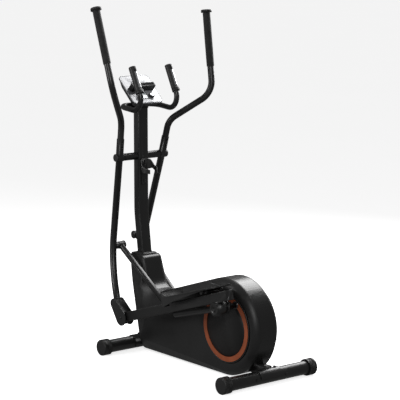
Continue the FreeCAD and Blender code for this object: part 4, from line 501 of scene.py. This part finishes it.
def build_foam_grips():
    """Foam sleeves with a soft rolled rim at each end and a slight swell in the middle."""
    for name, side in SIDES:
        low, high, radius = axis_of(name + "_foam_grip")
        length = (high - low).length
        inner = radius - 0.0023
        profile = [(0.0, inner), (0.0, radius - 0.0018), (0.0006, radius - 0.0008), (0.0018, radius - 0.0002)]
        for step in range(1, 12):
            share = step / 12
            swell = 0.0004 * math.sin(math.pi * share)
            profile.append((0.002 + (length - 0.004) * share, radius - 0.0002 + swell))
        profile += [(length - 0.0018, radius - 0.0002), (length - 0.0006, radius - 0.0008),
                    (length, radius - 0.0018), (length, inner)]
        mesh = lathed(profile, low, (high - low).normalized(), 72)
        grip = finished(name + "_foam_sleeve", mesh, foam, name + "_arm", 50)
        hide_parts(name + "_foam_grip")


def console_matrix():
    """Where the console face's middle is, and how it tilts."""
    turn = Matrix.Rotation(CONSOLE_TILT, 4, "X")
    origin = hinge_of["dial_turn"] - turn @ Vector((*DIAL_SPOT, 0))
    return Matrix.Translation(origin) @ turn


def build_console_trim():
    """Dark rim round the console face, a bezel round the display, and the dial."""
    place = console_matrix()
    rim = frame_ring(0.1716, 0.1736, 0.0198, 0.0048, -0.0042, 0.0009, place)
    finished("console_rim", rim, moulded, "root", 60)
    window = place @ Matrix.Translation((*DISPLAY_SPOT, 0))
    bezel = frame_ring(0.0560, 0.0400, 0.0040, 0.0026, -0.0006, 0.0009, window)
    finished("display_bezel", bezel, moulded, "root", 60)
    dial_place = place @ Matrix.Translation((*DIAL_SPOT, 0))
    base = dial_place.translation
    along = (dial_place.to_3x3() @ Vector((0, 0, 1))).normalized()
    knob = lathed([(0.0003, 0.0), (0.0003, 0.0142), (0.0012, 0.0148), (0.0070, 0.0144), (0.0095, 0.0136),
                   (0.0108, 0.0120), (0.0108, 0.0092), (0.0100, 0.0088), (0.0100, 0.0)], base, along, 72)
    body = finished("dial_knob", knob, dial_finish, "dial", 30)
    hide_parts("console_dial")
    cap = lathed([(0.0098, 0.0), (0.0098, 0.0085), (0.0104, 0.0084), (0.0108, 0.0060), (0.0110, 0.0)],
                 base, along, 64)
    finished("dial_centre", cap, dial_top, "dial", 40)
    ribs = plain_mesh(rib_ring_tree(dial_finish),
                      {"Radius": 0.0145, "Count": 30, "Rib Radius": 0.0005, "Rib Height": 0.0062}, "dial_ribs")
    ribs.transform(dial_place @ Matrix.Translation((0, 0, 0.0045)))
    finished("dial_ribs", ribs, dial_finish, "dial", 40)


def tread_place(name):
    """The tread's own axes: origin on the hinge line, Y forward along the tread, Z out of it."""
    source = nodes[name + "_pedal"].data
    sums = {}
    for face in source.polygons:
        if face.normal.z > 0.7:
            key = tuple(round(value, 2) for value in face.normal)
            sums[key] = sums.get(key, 0) + face.area
    normal = Vector(max(sums, key=sums.get)).normalized()
    normal.x = 0
    normal.normalize()
    pitch = math.atan2(-normal.y, normal.z)
    hinge = hinge_of[name + "_foot_pitch"]
    return Matrix.Translation((0, hinge.y, hinge.z)) @ Matrix.Rotation(pitch, 4, "X")


def build_tread_studs():
    """Grip studs between the tread's ribs."""
    tree = stud_field_tree(pedal_plastic)
    for name, side in SIDES:
        studs = plain_mesh(tree, {"Width": 0.084, "Length": 0.238, "Across": 9, "Rows": 8,
                                  "Radius": 0.0030, "Height": 0.0016}, name + "_studs")
        studs.transform(tread_place(name) @ Matrix.Translation((side * 0.181, 0.091, 0.0144)))
        finished(name + "_tread_studs", studs, pedal_plastic, name + "_foot", 40)


def build_pulse_collars():
    """Dark end rings on the pulse grips."""
    for name, side in SIDES:
        points = np.array([v.co for v in nodes["pulse_grips"].data.vertices if v.co.x * side > 0], float)
        mean = points.mean(0)
        along = Vector(np.linalg.svd(points - mean, full_matrices=False)[2][0])
        if along.z < 0:
            along = -along
        reach = (points - mean) @ np.array(along)
        base = Vector(mean) + along * reach.min()
        ring = lathed([(0.0, 0.0130), (0.0, 0.0172), (0.0015, 0.0186), (0.0130, 0.0186), (0.0150, 0.0172),
                       (0.0150, 0.0130)], base, along, 56)
        finished(name + "_pulse_collar", ring, moulded, "root", 40)


build_foam_grips()
build_console_trim()
build_tread_studs()
build_pulse_collars()


# ---------------------------------------------------------------- floor, light and camera

def build_floor():
    """A plain pale floor that the machine's dark surfaces do not mirror."""
    mesh = bpy.data.meshes.new("studio_floor")
    size = 160.0
    mesh.from_pydata([(-size, -size, 0), (size, -size, 0), (size, size, 0), (-size, size, 0)], [], [(0, 1, 2, 3)])
    material, tree, shader, place = new_finish("floor_paper")
    tree.links.new(two_tone(tree, spread(tree, noise(tree, place, 0.6), 0, 1), (0.88,) * 3, (0.90,) * 3),
                   shader.inputs["Base Color"])
    shader.inputs["Roughness"].default_value = 0.9
    shader.inputs["Specular IOR Level"].default_value = 0.1
    shader.inputs["Emission Color"].default_value = (1, 1, 1, 1)
    shader.inputs["Emission Strength"].default_value = 0.72
    mesh.materials.append(material)
    floor = bpy.data.objects.new("studio_floor", mesh)
    floor.visible_glossy = False
    floor.visible_diffuse = False
    bpy.context.scene.collection.objects.link(floor)


def soft_box(name, place, aim, width, height, watts):
    """A rectangular lamp that faces a point."""
    data = bpy.data.lights.new(name, "AREA")
    data.shape = "RECTANGLE"
    data.size, data.size_y, data.energy = width, height, watts
    light = bpy.data.objects.new(name, data)
    light.location = place
    light.rotation_mode = "QUATERNION"
    light.rotation_quaternion = (Vector(aim) - Vector(place)).to_track_quat("-Z", "Y")
    bpy.context.scene.collection.objects.link(light)


def build_light():
    world = bpy.data.worlds.new("studio")
    world.use_nodes = True
    world.node_tree.nodes["Background"].inputs["Color"].default_value = (1, 1, 1, 1)
    world.node_tree.nodes["Background"].inputs["Strength"].default_value = 0.2
    bpy.context.scene.world = world
    soft_box("overhead_right", (1.9, 0.5, 2.3), (0, -0.1, 0.4), 1.6, 3.0, 110)
    soft_box("near_camera", (-2.6, -3.6, 2.6), (0, 0, 0.7), 1.0, 2.0, 70)
    soft_box("left_strip", (-3.2, 1.2, 1.8), (0, 0.1, 0.7), 0.6, 2.2, 45)


def build_camera():
    data = bpy.data.cameras.new("view")
    data.lens = CAMERA_LENS
    data.sensor_width = SENSOR_WIDTH
    camera = bpy.data.objects.new("view", data)
    level = math.cos(CAMERA_ELEVATION)
    look = Vector((math.sin(CAMERA_AZIMUTH) * level, math.cos(CAMERA_AZIMUTH) * level,
                   -math.sin(CAMERA_ELEVATION)))
    camera.location = CAMERA_PLACE
    camera.rotation_mode = "QUATERNION"
    camera.rotation_quaternion = look.to_track_quat("-Z", "Y")
    bpy.context.scene.collection.objects.link(camera)
    bpy.context.scene.camera = camera


build_floor()
build_light()
build_camera()
bpy.context.scene.view_settings.view_transform = "Standard"
